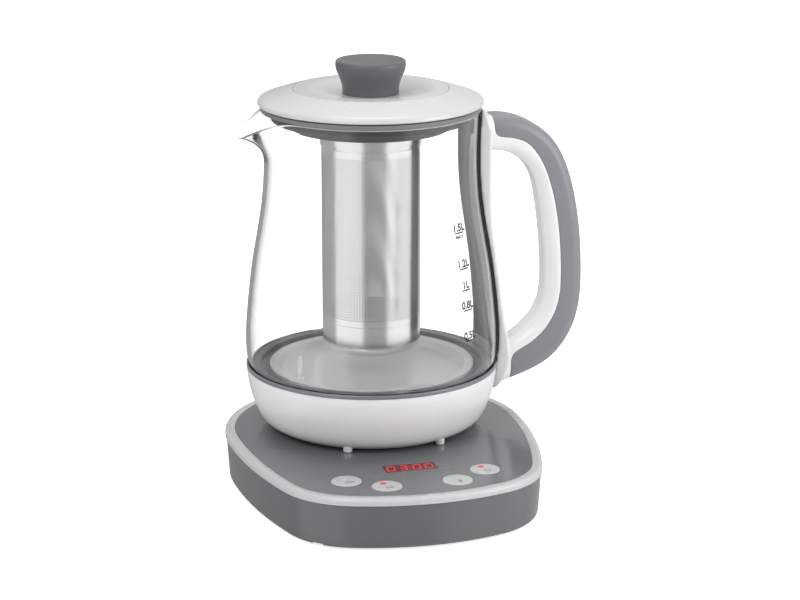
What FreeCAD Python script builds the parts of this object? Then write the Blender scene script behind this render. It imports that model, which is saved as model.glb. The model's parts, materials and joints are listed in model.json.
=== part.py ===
import FreeCAD, Part
import math
import os

V = FreeCAD.Vector
UP = V(0, 0, 1)

# Cordless tea maker: a glass jug with a heated floor on a control base, with a
# steel infuser hanging from its lid. Millimetres, Z up, the surface it stands on
# at Z 0. The jug's axis is the Z axis, the handle points to +X, the spout to -X
# and the controls face -Y.

# Fits between pieces
SEAT_GAP = 0.2            # lid on glass, jug on base
SLIDE_GAP = 0.3           # round fits between bodies
TRIM_GAP = 0.1            # pieces set into each other on one body

# Base outline, seen from above
BASE_HALF_WIDTH = 92.0
BASE_FRONT_REACH = 144.0
BASE_WAIST_Y = -8.0       # where the round back meets the sides
BASE_SIDE_R = 325.0
BASE_FRONT_R = 140.0
BASE_CORNER_R = 50.0

# Base heights and walls
FOOT_PROUD = 1.2
BASE_SIDE_HEIGHT = 26.9
BASE_RIM_HEIGHT = 4.4
BASE_RIM_WIDTH = 6.0
BASE_RIM_ROUND = 2.2
BASE_LEDGE = 3.0          # the rim's step under the top panel
BASE_WALL = 2.2
BASE_SIDE_INSET = 0.7     # shadow line under the rim
BASE_TAPER = 1.8
BASE_EDGE_ROUND = 3.5
PANEL_THICK = 2.4
FOOT_R = 8.0
FOOT_SEAT = 1.0
FOOT_SPOTS = [(-56.0, -98.0), (56.0, -98.0), (-52.0, 44.0), (52.0, 44.0)]
BASE_SCREW_SPOTS = [(-70.0, -62.0), (70.0, -62.0), (-68.0, 20.0), (68.0, 20.0)]
BOSS_R = 4.0
SCREW_R = 1.5
SCREW_HEAD_R = 3.0
SCREW_HEAD_HEIGHT = 2.0
SCREW_LENGTH = 22.0
NOTCH_WIDTH = 7.0         # cord exit notch in the lower edge
NOTCH_HEIGHT = 1.6
NOTCH_SPOT = (-61.0, -119.0)
GLAND_BORE_R = 3.6
GLAND_R = 5.4
GLAND_LIP = 1.6
GLAND_LENGTH = 12.0
GLAND_Z = 12.0

# Controls
BUTTON_R = 9.06
BUTTON_PROUD = 0.2
BUTTON_GAP = 0.25
BUTTON_LIP = 1.2
BUTTON_LIP_THICK = 1.4
BUTTON_TRAVEL = 0.6
BUTTON_STEM_R = 2.2
BUTTON_OUTER = (41.5, -105.9)
BUTTON_INNER = (21.0, -119.9)
SWITCH_SIZE = 6.2
SWITCH_HEIGHT = 3.5
SWITCH_PLUNGER_R = 1.7
SWITCH_PLUNGER_HEIGHT = 1.0
DISPLAY_WIDTH = 31.0
DISPLAY_DEPTH = 11.3
DISPLAY_Y = -92.1
DISPLAY_GLASS = 1.6
DISPLAY_LEDGE = 1.5
BOARD_THICK = 1.6
BOARD_Z = 17.5
BOARD_INSET = 12.0
BOARD_BACK_Y = -78.0
POWER_BOARD_FRONT_Y = 28.0
POWER_BOARD_WIDTH = 92.0
RELAY_WIDTH = 16.0
RELAY_DEPTH = 13.0
RELAY_HEIGHT = 12.0
RELAY_SPOT = (-20.0, 42.0)
CAPACITOR_R = 5.0
CAPACITOR_HEIGHT = 13.0
CAPACITOR_SPOT = (20.0, 40.0)
TERMINAL_WIDTH = 20.0
TERMINAL_DEPTH = 8.0
TERMINAL_SPOT = (0.0, 55.0)
CONTROL_POST_SPOTS = [(-44.0, -96.0), (44.0, -96.0), (0.0, -122.0)]
POWER_POST_SPOTS = [(-34.0, 34.0), (34.0, 34.0), (0.0, 60.0)]
POWER_BOARD_Z = 9.0

# Plug-in connection between base and jug
PLUG_DISC_R = 19.0
PLUG_DISC_HEIGHT = 1.2
PLUG_DISC_DEPTH = 6.0
PLUG_WALL_R = 11.0
PLUG_WALL = 2.0
PLUG_WALL_HEIGHT = 9.0
PLUG_POST_R = 3.6
PLUG_POST_HEIGHT = 13.0
PLUG_COLLAR_HEIGHT = 3.0
CONTACT_THICK = 0.8
PLUG_COLLAR_R = PLUG_POST_R + CONTACT_THICK + 1.0
SOCKET_R = 17.0
SOCKET_PIN_R = PLUG_POST_R + CONTACT_THICK + 0.4
SOCKET_END_GAP = 0.8
SOCKET_TOP_WALL = 3.0

# The jug's widest outside radius; everything round on the jug is measured inwards from it
JUG_R = 76.8

# Jug floor: housing, collar, seal, plate
JUG_FOOT_R = 2.8
JUG_FOOT_CIRCLE = JUG_R - 14.8
JUG_FOOT_ANGLE = 27.3
JUG_FOOT_HEIGHT = 2.0
HOUSING_R = JUG_R - 0.4
HOUSING_TOP_Z = 69.8
HOUSING_WALL = 1.6
COVER_R = HOUSING_R - 26.4
COVER_RIB_INSET = 12.0
COVER_RIB_HEIGHT = 3.0
COVER_THICK = 2.0
COLLAR_R = JUG_R
COLLAR_LIP_WIDTH = 1.05
COLLAR_SHELF_THICK = 2.4
COLLAR_LIP_HEIGHT = 2.4
COLLAR_CHAMFER = 0.5
GLASS_FOOT_R = JUG_R - 2.8
SEAL_SHELF_R = GLASS_FOOT_R - 6.0
SEAL_LIP = 0.6
SEAL_FLOOR_THICK = 2.0
PLATE_FLANGE_R = SEAL_SHELF_R - 5.3
PLATE_FLANGE_WIDTH = 5.6
PLATE_DEPTH = 5.2
PLATE_THICK = 0.8
PLATE_BRIM_RISE = 1.1
SPREADER_R = PLATE_FLANGE_R - 12.7
SPREADER_THICK = 2.6
ELEMENT_RING_R = 40.0
ELEMENT_TUBE_R = 4.2
ELEMENT_FLAT = 0.5
ELEMENT_SWEEP = 310.0
THERMOSTAT_R = 9.0
THERMOSTAT_HEIGHT = 5.0
PROBE_SPOT = (-47.5, -12.0)
PROBE_R = 1.5
PROBE_HEIGHT = 15.0
PROBE_NUT_R = 3.2
PROBE_NUT_HEIGHT = 2.2

# Glass: heights with the outside radius, as a step in from JUG_R, from the foot up
GLASS_WALL = 2.2
GLASS_FOOT_Z = 69.0
GLASS_STATIONS = [(z, JUG_R - step) for z, step in (
    (72.6, 1.5), (78.0, 0.4), (86.0, 0.0), (98.0, 0.4), (116.8, 2.2), (135.5, 4.6),
    (154.2, 7.9), (172.7, 10.8), (190.0, 12.2), (208.0, 12.4),
)]
GLASS_RIM_Z = 228.0
GLASS_RIM_R = JUG_R - 11.6
SPOUT_REACH = GLASS_RIM_R + 14.8        # from the axis to the tip of the spout
SPOUT_TIP_Z = 216.0
SPOUT_ROOT_Z = 200.0
SPOUT_NOSE_R = 6.0


def outward(points):
    """Points on the handle's side, given as steps out from JUG_R and heights."""
    return [(JUG_R + step, z) for step, z in points]


# Spine and handle on the +X side
LINER_GAP = 0.1
LINER_THICK = 1.2
LINER_HALF_ANGLE = 21.0
LINER_TOP_Z = 224.0
SPINE_HALF_ANGLE = 18.0
SPINE_TOP_Z = 226.5
SPINE_SHOULDER_DROP = 6.0
SPINE_SHOULDER_IN = (1.0, 4.0)
SPINE_STEP_Z = 64.0
SPINE_TIP_THICK = 1.6
SPINE_OUTSIDE = outward([
    (-4.4, 210.0), (-4.4, 186.0), (-3.2, 158.0), (0.8, 127.0), (5.0, 97.0), (7.8, 78.0),
    (6.6, 62.0), (1.3, 47.7),
])
TAIL_HALF_WIDTH = 9.0
TAIL_RISE = 5.0
TAIL_MID_HALF_WIDTH = 19.0
TAIL_MID_RISE = 18.0
TAIL_SHOULDER_HALF_WIDTH = 40.0
TAIL_SHOULDER_RISE = 22.0
HANDLE_HALF_WIDTH = 12.0
HANDLE_ROUND = 7.0
HANDLE_OUTSIDE = outward([
    (-6.3, 221.4), (16.2, 219.0), (35.2, 206.0), (48.5, 178.0), (55.5, 125.0), (51.2, 88.0),
    (35.2, 66.0), (16.2, 57.0), (2.7, 52.6),
])
HANDLE_INSIDE = outward([
    (4.7, 78.0), (20.4, 87.9), (29.3, 99.8), (32.2, 122.0), (27.8, 167.0), (20.6, 188.5),
    (9.2, 197.6), (-6.3, 199.7),
])
GRIP_INSIDE = outward([
    (-0.6, 230.0), (0.2, 214.0), (4.7, 206.8), (20.2, 202.7), (35.7, 186.2), (45.6, 140.8),
    (47.5, 108.6), (36.2, 79.0), (18.2, 66.6), (14.4, 61.0), (14.2, 50.0),
])
HANDLE_SCREW_Z = 62.0
HANDLE_SCREW_LENGTH = 8.0

# Lid
LID_COVER_R = GLASS_RIM_R + 1.8
LID_FLANGE_R = LID_COVER_R - 0.7
LID_FLANGE_WIDTH = 3.0
LID_FLANGE_HEIGHT = 3.6
LID_EDGE_HEIGHT = 3.7
LID_CREST_R = LID_COVER_R - 2.4
LID_DISH_MID_R = 30.0
LID_HOLE_R = 4.0
LID_GROOVE_R = 44.8
LID_GROOVE_RISE = 9.2     # from the cover's lower edge up to the groove
LID_DISH_RISE = 6.0       # from the cover's lower edge up to the knob's foot
LID_WALL = 2.2
PLUG_STEP_R = GLASS_RIM_R - 5.2
PLUG_WALL_THICK = 2.0
PLUG_BOSS_R = 4.2
PLUG_STEP_HEIGHT = 5.6
PLUG_SKIRT_R = PLUG_STEP_R - 12.6
PLUG_SKIRT_HEIGHT = 5.4
LID_SEAL_GAP_ANGLE = 26.0
KNOB_FOOT_R = 15.6
KNOB_TOP_R = 19.7
KNOB_HEIGHT = 20.2
KNOB_DISH = 1.6

# Infuser
INFUSER_R = 28.1
INFUSER_WALL = 0.6
INFUSER_BOTTOM_Z = 81.0
INFUSER_CORNER_R = 7.0
INFUSER_BASE_HEIGHT = 19.0
INFUSER_COLLAR_R = 29.0
INFUSER_COLLAR_DROP = 8.0
BAYONET_DEPTH = 5.0
BAYONET_LUG = 1.8
BAYONET_LUG_HEIGHT = 1.6
BAYONET_LUG_ANGLE = 24.0
BAYONET_COUNT = 3

# Heights that follow from the sizes above
SHELL_TOP_Z = FOOT_PROUD + BASE_SIDE_HEIGHT
PANEL_Z = SHELL_TOP_Z + BASE_RIM_HEIGHT
PANEL_UNDER_Z = PANEL_Z - PANEL_THICK
JUG_Z = PANEL_Z + SEAT_GAP
HOUSING_BOTTOM_Z = JUG_Z + JUG_FOOT_HEIGHT - 0.7
COLLAR_TOP_Z = HOUSING_TOP_Z + COLLAR_LIP_HEIGHT
SOCKET_ROOF_Z = PANEL_Z + PLUG_DISC_HEIGHT + PLUG_POST_HEIGHT + SOCKET_END_GAP
PLATE_TOP_Z = COLLAR_TOP_Z - 0.7
PLATE_FLOOR_Z = PLATE_TOP_Z - PLATE_DEPTH
LID_Z = GLASS_RIM_Z + SEAT_GAP
LID_COVER_Z = LID_Z + LID_FLANGE_HEIGHT
PLUG_BOTTOM_Z = LID_Z - PLUG_STEP_HEIGHT - PLUG_SKIRT_HEIGHT


def xz(points):
    return [V(a, 0, b) for a, b in points]


def curve(points):
    """One edge: a line, an arc through its middle point, or a smooth curve."""
    if len(points) == 2:
        return Part.LineSegment(*points).toShape()
    if len(points) == 3:
        return Part.Arc(*points).toShape()
    spline = Part.BSplineCurve()
    spline.interpolate(points)
    return spline.toShape()


def face_of(*runs):
    """A flat face in the XZ plane; each run starts where the last one ended."""
    edges = [curve(xz(run)) for run in runs]
    return Part.Face(Part.Wire(edges))


def polygon(points):
    return Part.Face(Part.makePolygon(xz(list(points) + [points[0]])))


def turned(face, start=0.0, sweep=360.0):
    turned_face = face.copy()
    turned_face.rotate(V(0, 0, 0), UP, start)
    return turned_face.revolve(V(0, 0, 0), UP, sweep)


def cylinder(radius, z_low, z_high, spot=(0.0, 0.0)):
    return Part.makeCylinder(radius, z_high - z_low, V(spot[0], spot[1], z_low))


def ring(outer, inner, z_low, z_high, spot=(0.0, 0.0)):
    solid = cylinder(outer, z_low, z_high, spot)
    return solid.cut(cylinder(inner, z_low - 1, z_high + 1, spot))


def block(width, depth, z_low, z_high, spot=(0.0, 0.0)):
    corner = V(spot[0] - width / 2, spot[1] - depth / 2, z_low)
    return Part.makeBox(width, depth, z_high - z_low, corner)


def joined(first, *others):
    solid = first
    for other in others:
        solid = solid.fuse(other)
    return solid.removeSplitter()


def group(solids):
    return Part.makeCompound(list(solids))


def around(solid, count, start=0.0):
    """Copies of a solid, evenly spaced about the Z axis."""
    copies = []
    for index in range(count):
        copy = solid.copy()
        copy.rotate(V(0, 0, 0), UP, start + 360.0 * index / count)
        copies.append(copy)
    return copies


def edges_at(solid, height):
    return [edge for edge in solid.Edges
            if all(abs(vertex.Z - height) < 1e-4 for vertex in edge.Vertexes)]


def circles_meet(first, first_r, second, second_r):
    """The lower of the two points where two circles cross."""
    between = second - first
    span = between.Length
    along = (first_r ** 2 - second_r ** 2 + span ** 2) / (2 * span)
    across = math.sqrt(first_r ** 2 - along ** 2)
    unit = between / span
    side = V(unit.y, -unit.x, 0)
    options = [first + unit * along + side * across, first + unit * along - side * across]
    return min(options, key=lambda point: point.y)


def base_outline(inset, z):
    """The base's outline in plan: round back, long sides, round corners, bowed front."""
    side_centre = V(BASE_HALF_WIDTH - BASE_SIDE_R, BASE_WAIST_Y, 0)
    front_centre = V(0, BASE_FRONT_R - BASE_FRONT_REACH, 0)
    corner_centre = circles_meet(side_centre, BASE_SIDE_R - BASE_CORNER_R,
                                 front_centre, BASE_FRONT_R - BASE_CORNER_R)
    to_corner = corner_centre - side_centre
    side_angle = math.degrees(math.atan2(-to_corner.y, to_corner.x))
    to_corner = corner_centre - front_centre
    front_angle = math.degrees(math.atan2(to_corner.x, -to_corner.y))
    pieces = [
        (0.0, BASE_WAIST_Y, BASE_HALF_WIDTH, 0, 180),
        (-side_centre.x, BASE_WAIST_Y, BASE_SIDE_R, 180, 180 + side_angle),
        (-corner_centre.x, corner_centre.y, BASE_CORNER_R, 180 + side_angle, 270 - front_angle),
        (0.0, front_centre.y, BASE_FRONT_R, 270 - front_angle, 270 + front_angle),
        (corner_centre.x, corner_centre.y, BASE_CORNER_R, 270 + front_angle, 360 - side_angle),
        (side_centre.x, BASE_WAIST_Y, BASE_SIDE_R, 360 - side_angle, 360),
    ]
    edges = []
    for x, y, radius, start, end in pieces:
        edges.append(Part.makeCircle(radius - inset, V(x, y, z), UP, start, end))
    return Part.Wire(edges)


def base_slab(inset, z_low, z_high):
    return Part.Face(base_outline(inset, z_low)).extrude(V(0, 0, z_high - z_low))


def button_spots():
    spots = {}
    for name, (x, y) in (("outer", BUTTON_OUTER), ("inner", BUTTON_INNER)):
        spots["left_" + name] = (-x, y)
        spots["right_" + name] = (x, y)
    return spots


def glass_radius(z):
    """Outside radius of the glass between its stations."""
    stations = GLASS_STATIONS + [(GLASS_RIM_Z, GLASS_RIM_R)]
    for (low_z, low_r), (high_z, high_r) in zip(stations, stations[1:]):
        if z <= high_z:
            share = (z - low_z) / (high_z - low_z)
            return low_r + share * (high_r - low_r)
    return GLASS_RIM_R


def base_shell():
    low = base_outline(BASE_SIDE_INSET + BASE_TAPER, FOOT_PROUD)
    high = base_outline(BASE_SIDE_INSET, SHELL_TOP_Z)
    shell = Part.makeLoft([low, high], True, True)
    shell = shell.makeFillet(BASE_EDGE_ROUND, edges_at(shell, FOOT_PROUD))
    inner = BASE_SIDE_INSET + BASE_TAPER + BASE_WALL
    shell = shell.cut(base_slab(inner, FOOT_PROUD + BASE_WALL, SHELL_TOP_Z + 1))
    floor = FOOT_PROUD + BASE_WALL
    for spot in BASE_SCREW_SPOTS:
        shell = shell.fuse(cylinder(BOSS_R, floor - 0.5, BOARD_Z - 1.0, spot))
        shell = shell.cut(cylinder(SCREW_R + TRIM_GAP, FOOT_PROUD - 1, BOARD_Z, spot))
        head_top = FOOT_PROUD + SCREW_HEAD_HEIGHT + 0.5
        shell = shell.cut(cylinder(SCREW_HEAD_R + TRIM_GAP, FOOT_PROUD - 1, head_top, spot))
    for spot in CONTROL_POST_SPOTS:
        shell = shell.fuse(cylinder(BOSS_R * 0.75, floor - 0.5, BOARD_Z, spot))
    for spot in POWER_POST_SPOTS:
        shell = shell.fuse(cylinder(BOSS_R * 0.75, floor - 0.5, POWER_BOARD_Z, spot))
    for spot in FOOT_SPOTS:
        shell = shell.cut(cylinder(FOOT_R, FOOT_PROUD - 1, FOOT_PROUD + FOOT_SEAT, spot))
    notch = block(NOTCH_WIDTH, 2 * NOTCH_WIDTH, FOOT_PROUD - 1, FOOT_PROUD + NOTCH_HEIGHT)
    notch.rotate(V(0, 0, 0), UP, math.degrees(math.atan2(NOTCH_SPOT[0], -NOTCH_SPOT[1])))
    notch.translate(V(NOTCH_SPOT[0], NOTCH_SPOT[1], 0))
    shell = shell.cut(notch)
    gland_hole = Part.makeCylinder(GLAND_R, 30.0, V(0, gland_wall_y() - 15.0, GLAND_Z), V(0, 1, 0))
    return shell.cut(gland_hole).removeSplitter()


def gland_wall_y():
    """Outside of the shell's back wall at the height of the cord's gland."""
    share = (GLAND_Z - FOOT_PROUD) / BASE_SIDE_HEIGHT
    inset = BASE_SIDE_INSET + BASE_TAPER * (1 - share)
    return BASE_WAIST_Y + BASE_HALF_WIDTH - inset


def cord_gland():
    wall_y = gland_wall_y()
    front = V(0, wall_y - GLAND_LENGTH + 2.0, GLAND_Z)
    along = V(0, 1, 0)
    body = Part.makeCylinder(GLAND_R - TRIM_GAP, GLAND_LENGTH, front, along)
    lip = Part.makeCylinder(GLAND_R + GLAND_LIP, 1.5, V(0, wall_y + 0.5, GLAND_Z), along)
    inner_y = wall_y - BASE_WALL - BASE_TAPER - 2.0
    back_lip = Part.makeCylinder(GLAND_R + GLAND_LIP, 1.5, V(0, inner_y, GLAND_Z), along)
    bore = Part.makeCylinder(GLAND_BORE_R, GLAND_LENGTH + 4, front - along * 2, along)
    return joined(body, lip, back_lip).cut(bore)


def base_rim():
    rim = base_slab(0.0, SHELL_TOP_Z, PANEL_Z)
    rim = rim.makeFillet(BASE_RIM_ROUND, edges_at(rim, PANEL_Z))
    rim = rim.cut(base_slab(BASE_RIM_WIDTH, PANEL_UNDER_Z, PANEL_Z + 1))
    inner = BASE_RIM_WIDTH + BASE_LEDGE
    rim = rim.cut(base_slab(inner, SHELL_TOP_Z - 1, PANEL_Z))
    tongue_out = BASE_SIDE_INSET + BASE_TAPER + BASE_WALL + TRIM_GAP
    tongue = base_slab(tongue_out, SHELL_TOP_Z - 3.0, SHELL_TOP_Z)
    tongue = tongue.cut(base_slab(tongue_out + 1.6, SHELL_TOP_Z - 4.0, SHELL_TOP_Z + 1))
    return joined(rim, tongue)


def top_panel():
    panel = base_slab(BASE_RIM_WIDTH + TRIM_GAP, PANEL_UNDER_Z, PANEL_Z)
    for spot in BASE_SCREW_SPOTS:
        panel = panel.fuse(cylinder(BOSS_R, BOARD_Z - 1.0, PANEL_UNDER_Z, spot))
        panel = panel.cut(cylinder(SCREW_R + TRIM_GAP, BOARD_Z - 2.0, PANEL_UNDER_Z - 0.5, spot))
    for spot in button_spots().values():
        panel = panel.cut(cylinder(BUTTON_R + BUTTON_GAP, PANEL_UNDER_Z - 1, PANEL_Z + 1, spot))
    spot = (0.0, DISPLAY_Y)
    recess = block(DISPLAY_WIDTH + 2 * TRIM_GAP, DISPLAY_DEPTH + 2 * TRIM_GAP,
                   PANEL_Z - DISPLAY_GLASS, PANEL_Z + 1, spot)
    hole = block(DISPLAY_WIDTH - 2 * DISPLAY_LEDGE, DISPLAY_DEPTH - 2 * DISPLAY_LEDGE,
                 PANEL_UNDER_Z - 1, PANEL_Z, spot)
    plug_hole = cylinder(PLUG_DISC_R - 1.5, PANEL_UNDER_Z - 1, PANEL_Z + 1)
    return panel.cut(recess).cut(hole).cut(plug_hole).removeSplitter()


def button(spot):
    top = PANEL_Z + BUTTON_PROUD
    lip_top = PANEL_UNDER_Z - BUTTON_GAP
    lip_low = lip_top - BUTTON_LIP_THICK
    stem_low = switch_top() + BUTTON_TRAVEL + 0.1
    lip_r = BUTTON_R + BUTTON_LIP
    edge = 0.6
    face = face_of(
        [(0, stem_low), (BUTTON_STEM_R, stem_low)],
        [(BUTTON_STEM_R, stem_low), (BUTTON_STEM_R, lip_low)],
        [(BUTTON_STEM_R, lip_low), (lip_r, lip_low)],
        [(lip_r, lip_low), (lip_r, lip_top)],
        [(lip_r, lip_top), (BUTTON_R, lip_top)],
        [(BUTTON_R, lip_top), (BUTTON_R, top - edge)],
        [(BUTTON_R, top - edge), (BUTTON_R - edge * 0.3, top - edge * 0.3), (BUTTON_R - edge, top)],
        [(BUTTON_R - edge, top), (0, top)],
        [(0, top), (0, stem_low)],
    )
    solid = turned(face)
    solid.translate(V(spot[0], spot[1], 0))
    return solid


def switch_top():
    return BOARD_Z + BOARD_THICK + SWITCH_HEIGHT + SWITCH_PLUNGER_HEIGHT


def tact_switches():
    low = BOARD_Z + BOARD_THICK
    solids = []
    for spot in button_spots().values():
        body = block(SWITCH_SIZE, SWITCH_SIZE, low, low + SWITCH_HEIGHT, spot)
        plunger = cylinder(SWITCH_PLUNGER_R, low + SWITCH_HEIGHT - 0.5, switch_top(), spot)
        solids.append(joined(body, plunger))
    return group(solids)


def control_board():
    board = base_slab(BOARD_INSET, BOARD_Z, BOARD_Z + BOARD_THICK)
    keep = block(4 * BASE_HALF_WIDTH, 200.0, 0, PANEL_Z, (0.0, BOARD_BACK_Y - 100.0))
    return board.common(keep)


def display_module():
    low = BOARD_Z + BOARD_THICK
    return block(DISPLAY_WIDTH + 2.0, DISPLAY_DEPTH + 2.0, low, PANEL_UNDER_Z - 0.2, (0.0, DISPLAY_Y))


def display_window():
    return block(DISPLAY_WIDTH, DISPLAY_DEPTH, PANEL_Z - DISPLAY_GLASS, PANEL_Z, (0.0, DISPLAY_Y))


def power_board():
    board = base_slab(BOARD_INSET, POWER_BOARD_Z, POWER_BOARD_Z + BOARD_THICK)
    keep = block(POWER_BOARD_WIDTH, BASE_HALF_WIDTH * 2, 0, PANEL_Z,
                 (0.0, POWER_BOARD_FRONT_Y + BASE_HALF_WIDTH))
    board = board.common(keep)
    low = POWER_BOARD_Z + BOARD_THICK - 0.2
    relay = block(RELAY_WIDTH, RELAY_DEPTH, low, low + RELAY_HEIGHT, RELAY_SPOT)
    capacitor = cylinder(CAPACITOR_R, low, low + CAPACITOR_HEIGHT, CAPACITOR_SPOT)
    terminal = block(TERMINAL_WIDTH, TERMINAL_DEPTH, low, low + TERMINAL_DEPTH, TERMINAL_SPOT)
    return joined(board, relay, capacitor, terminal)


def rubber_feet():
    return group(cylinder(FOOT_R - TRIM_GAP, 0.0, FOOT_PROUD + FOOT_SEAT, spot)
                 for spot in FOOT_SPOTS)


def screw(head_z, length, spot, head_up=False):
    """A pan head screw; the head's seat is at head_z."""
    head = cylinder(SCREW_HEAD_R, -SCREW_HEAD_HEIGHT, 0.0)
    head = head.makeFillet(0.6, edges_at(head, -SCREW_HEAD_HEIGHT))
    slot = block(0.8, 3.6, -SCREW_HEAD_HEIGHT - 1, -SCREW_HEAD_HEIGHT + 0.9)
    solid = joined(head, cylinder(SCREW_R, -0.5, length)).cut(slot)
    if head_up:
        solid.rotate(V(0, 0, 0), V(1, 0, 0), 180)
    solid.translate(V(spot[0], spot[1], head_z))
    return solid


def base_screws():
    seat = FOOT_PROUD + SCREW_HEAD_HEIGHT + 0.5
    return group(screw(seat, SCREW_LENGTH, spot) for spot in BASE_SCREW_SPOTS)


def base_connector():
    """The plug on the base: a disc with a round wall and a bored post."""
    top = PANEL_Z + PLUG_DISC_HEIGHT
    disc = cylinder(PLUG_DISC_R, PANEL_Z, top)
    disc = disc.makeFillet(PLUG_DISC_HEIGHT * 0.6, edges_at(disc, top))
    neck = cylinder(PLUG_DISC_R - 1.6, PANEL_Z - PLUG_DISC_DEPTH, PANEL_Z + 0.1)
    wall = ring(PLUG_WALL_R, PLUG_WALL_R - PLUG_WALL, PANEL_Z, top + PLUG_WALL_HEIGHT)
    post = cylinder(PLUG_COLLAR_R, PANEL_Z, top + PLUG_COLLAR_HEIGHT)
    bore = cylinder(PLUG_POST_R, PANEL_Z - PLUG_DISC_DEPTH + 2.0, top + PLUG_COLLAR_HEIGHT + 1.0)
    return joined(disc, neck, wall, post).cut(bore)


def base_contacts():
    """Centre pin and outer contact ring of the base's plug."""
    low = PANEL_Z - PLUG_DISC_DEPTH + 2.0
    top = PANEL_Z + PLUG_DISC_HEIGHT
    pin = cylinder(PLUG_POST_R - TRIM_GAP, low, top + PLUG_POST_HEIGHT)
    pin = pin.makeFillet(2.0, edges_at(pin, top + PLUG_POST_HEIGHT))
    inner = PLUG_WALL_R - PLUG_WALL
    band = ring(inner - TRIM_GAP, inner - TRIM_GAP - CONTACT_THICK, top, top + PLUG_WALL_HEIGHT - 1.0)
    return group([pin, band])


def jug_connector():
    """The socket under the jug that drops over the base's plug."""
    low = HOUSING_BOTTOM_Z + 0.4
    body = cylinder(SOCKET_R, low, SOCKET_ROOF_Z + SOCKET_TOP_WALL)
    lip = cylinder(SOCKET_R + 2.0, HOUSING_BOTTOM_Z + COVER_THICK, HOUSING_BOTTOM_Z + COVER_THICK + 2.0)
    pin_bore = cylinder(SOCKET_PIN_R, low - 1, SOCKET_ROOF_Z)
    post_bore = cylinder(PLUG_COLLAR_R + SLIDE_GAP, low - 1,
                         PANEL_Z + PLUG_DISC_HEIGHT + PLUG_COLLAR_HEIGHT + 0.6)
    wall_top = PANEL_Z + PLUG_DISC_HEIGHT + PLUG_WALL_HEIGHT + 0.6
    groove = ring(PLUG_WALL_R + SLIDE_GAP, PLUG_WALL_R - PLUG_WALL - CONTACT_THICK - TRIM_GAP - SLIDE_GAP,
                  low - 1, wall_top)
    return joined(body, lip).cut(pin_bore).cut(post_bore).cut(groove)


def jug_contacts():
    """Sleeve that meets the centre pin, and the strips on top of the socket."""
    sleeve = ring(SOCKET_PIN_R - TRIM_GAP, PLUG_POST_R + 0.2,
                  PANEL_Z + PLUG_DISC_HEIGHT + PLUG_COLLAR_HEIGHT + 1.0, SOCKET_ROOF_Z - 0.2)
    top = SOCKET_ROOF_Z + SOCKET_TOP_WALL
    strips = [block(3.0, 12.0, top, top + 1.0, (x, 9.0)) for x in (-7.0, 7.0)]
    return group([sleeve] + strips)


def housing_outside():
    """The bowl's outside from its top edge in under the jug."""
    low = HOUSING_BOTTOM_Z
    high = HOUSING_TOP_Z - low
    edge = HOUSING_R
    return [
        (edge, HOUSING_TOP_Z), (edge - 0.2, low + 0.85 * high), (edge - 2.2, low + 0.565 * high),
        (edge - 6.2, low + 0.26 * high), (edge - 10.2, low + 0.1 * high), (edge - 16.4, low),
    ]


def jug_housing():
    outside = housing_outside()
    low = HOUSING_BOTTOM_Z
    end_r = outside[-1][0]
    outer = turned(face_of(outside, [(end_r, low), (0, low)], [(0, low), (0, HOUSING_TOP_Z)],
                           [(0, HOUSING_TOP_Z), (HOUSING_R, HOUSING_TOP_Z)]))
    inside = [(r - HOUSING_WALL, z + HOUSING_WALL * 0.6 * (HOUSING_TOP_Z - z) / HOUSING_TOP_Z)
              for r, z in outside[:-1]]
    inside.append((end_r - HOUSING_WALL, low + HOUSING_WALL))
    inner = turned(face_of(inside, [inside[-1], (0, low + HOUSING_WALL)],
                           [(0, low + HOUSING_WALL), (0, HOUSING_TOP_Z)],
                           [(0, HOUSING_TOP_Z), inside[0]]))
    bowl = outer.cut(inner).cut(cylinder(COVER_R, low - 1, low + HOUSING_WALL + 1))
    for angle in (-JUG_FOOT_ANGLE, JUG_FOOT_ANGLE, 180 - JUG_FOOT_ANGLE, 180 + JUG_FOOT_ANGLE):
        spot = (JUG_FOOT_CIRCLE * math.sin(math.radians(angle)),
                -JUG_FOOT_CIRCLE * math.cos(math.radians(angle)))
        foot = cylinder(JUG_FOOT_R, JUG_Z, HOUSING_BOTTOM_Z + 3.0, spot)
        foot = foot.makeFillet(0.5, edges_at(foot, JUG_Z))
        bowl = bowl.fuse(foot)
    seat = handle_screw_seat()
    head_room = Part.makeCylinder(SCREW_HEAD_R + TRIM_GAP, 6.0, seat - V(6, 0, 0), V(1, 0, 0))
    return bowl.cut(handle_screw_hole()).cut(head_room).removeSplitter()


def bottom_cover():
    low = HOUSING_BOTTOM_Z
    plate = cylinder(COVER_R - TRIM_GAP, low, low + COVER_THICK)
    flange = ring(COVER_R + 2.5, COVER_R - 4.0, low + HOUSING_WALL + TRIM_GAP, low + HOUSING_WALL + 1.6)
    cover = joined(plate, flange).cut(cylinder(SOCKET_R + TRIM_GAP, low - 1, low + COVER_THICK + 1))
    rib_r = COVER_R - COVER_RIB_INSET
    ribs = ring(rib_r, rib_r - 1.5, low + COVER_THICK - 0.2, low + COVER_THICK + COVER_RIB_HEIGHT)
    return joined(cover, ribs)


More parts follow.
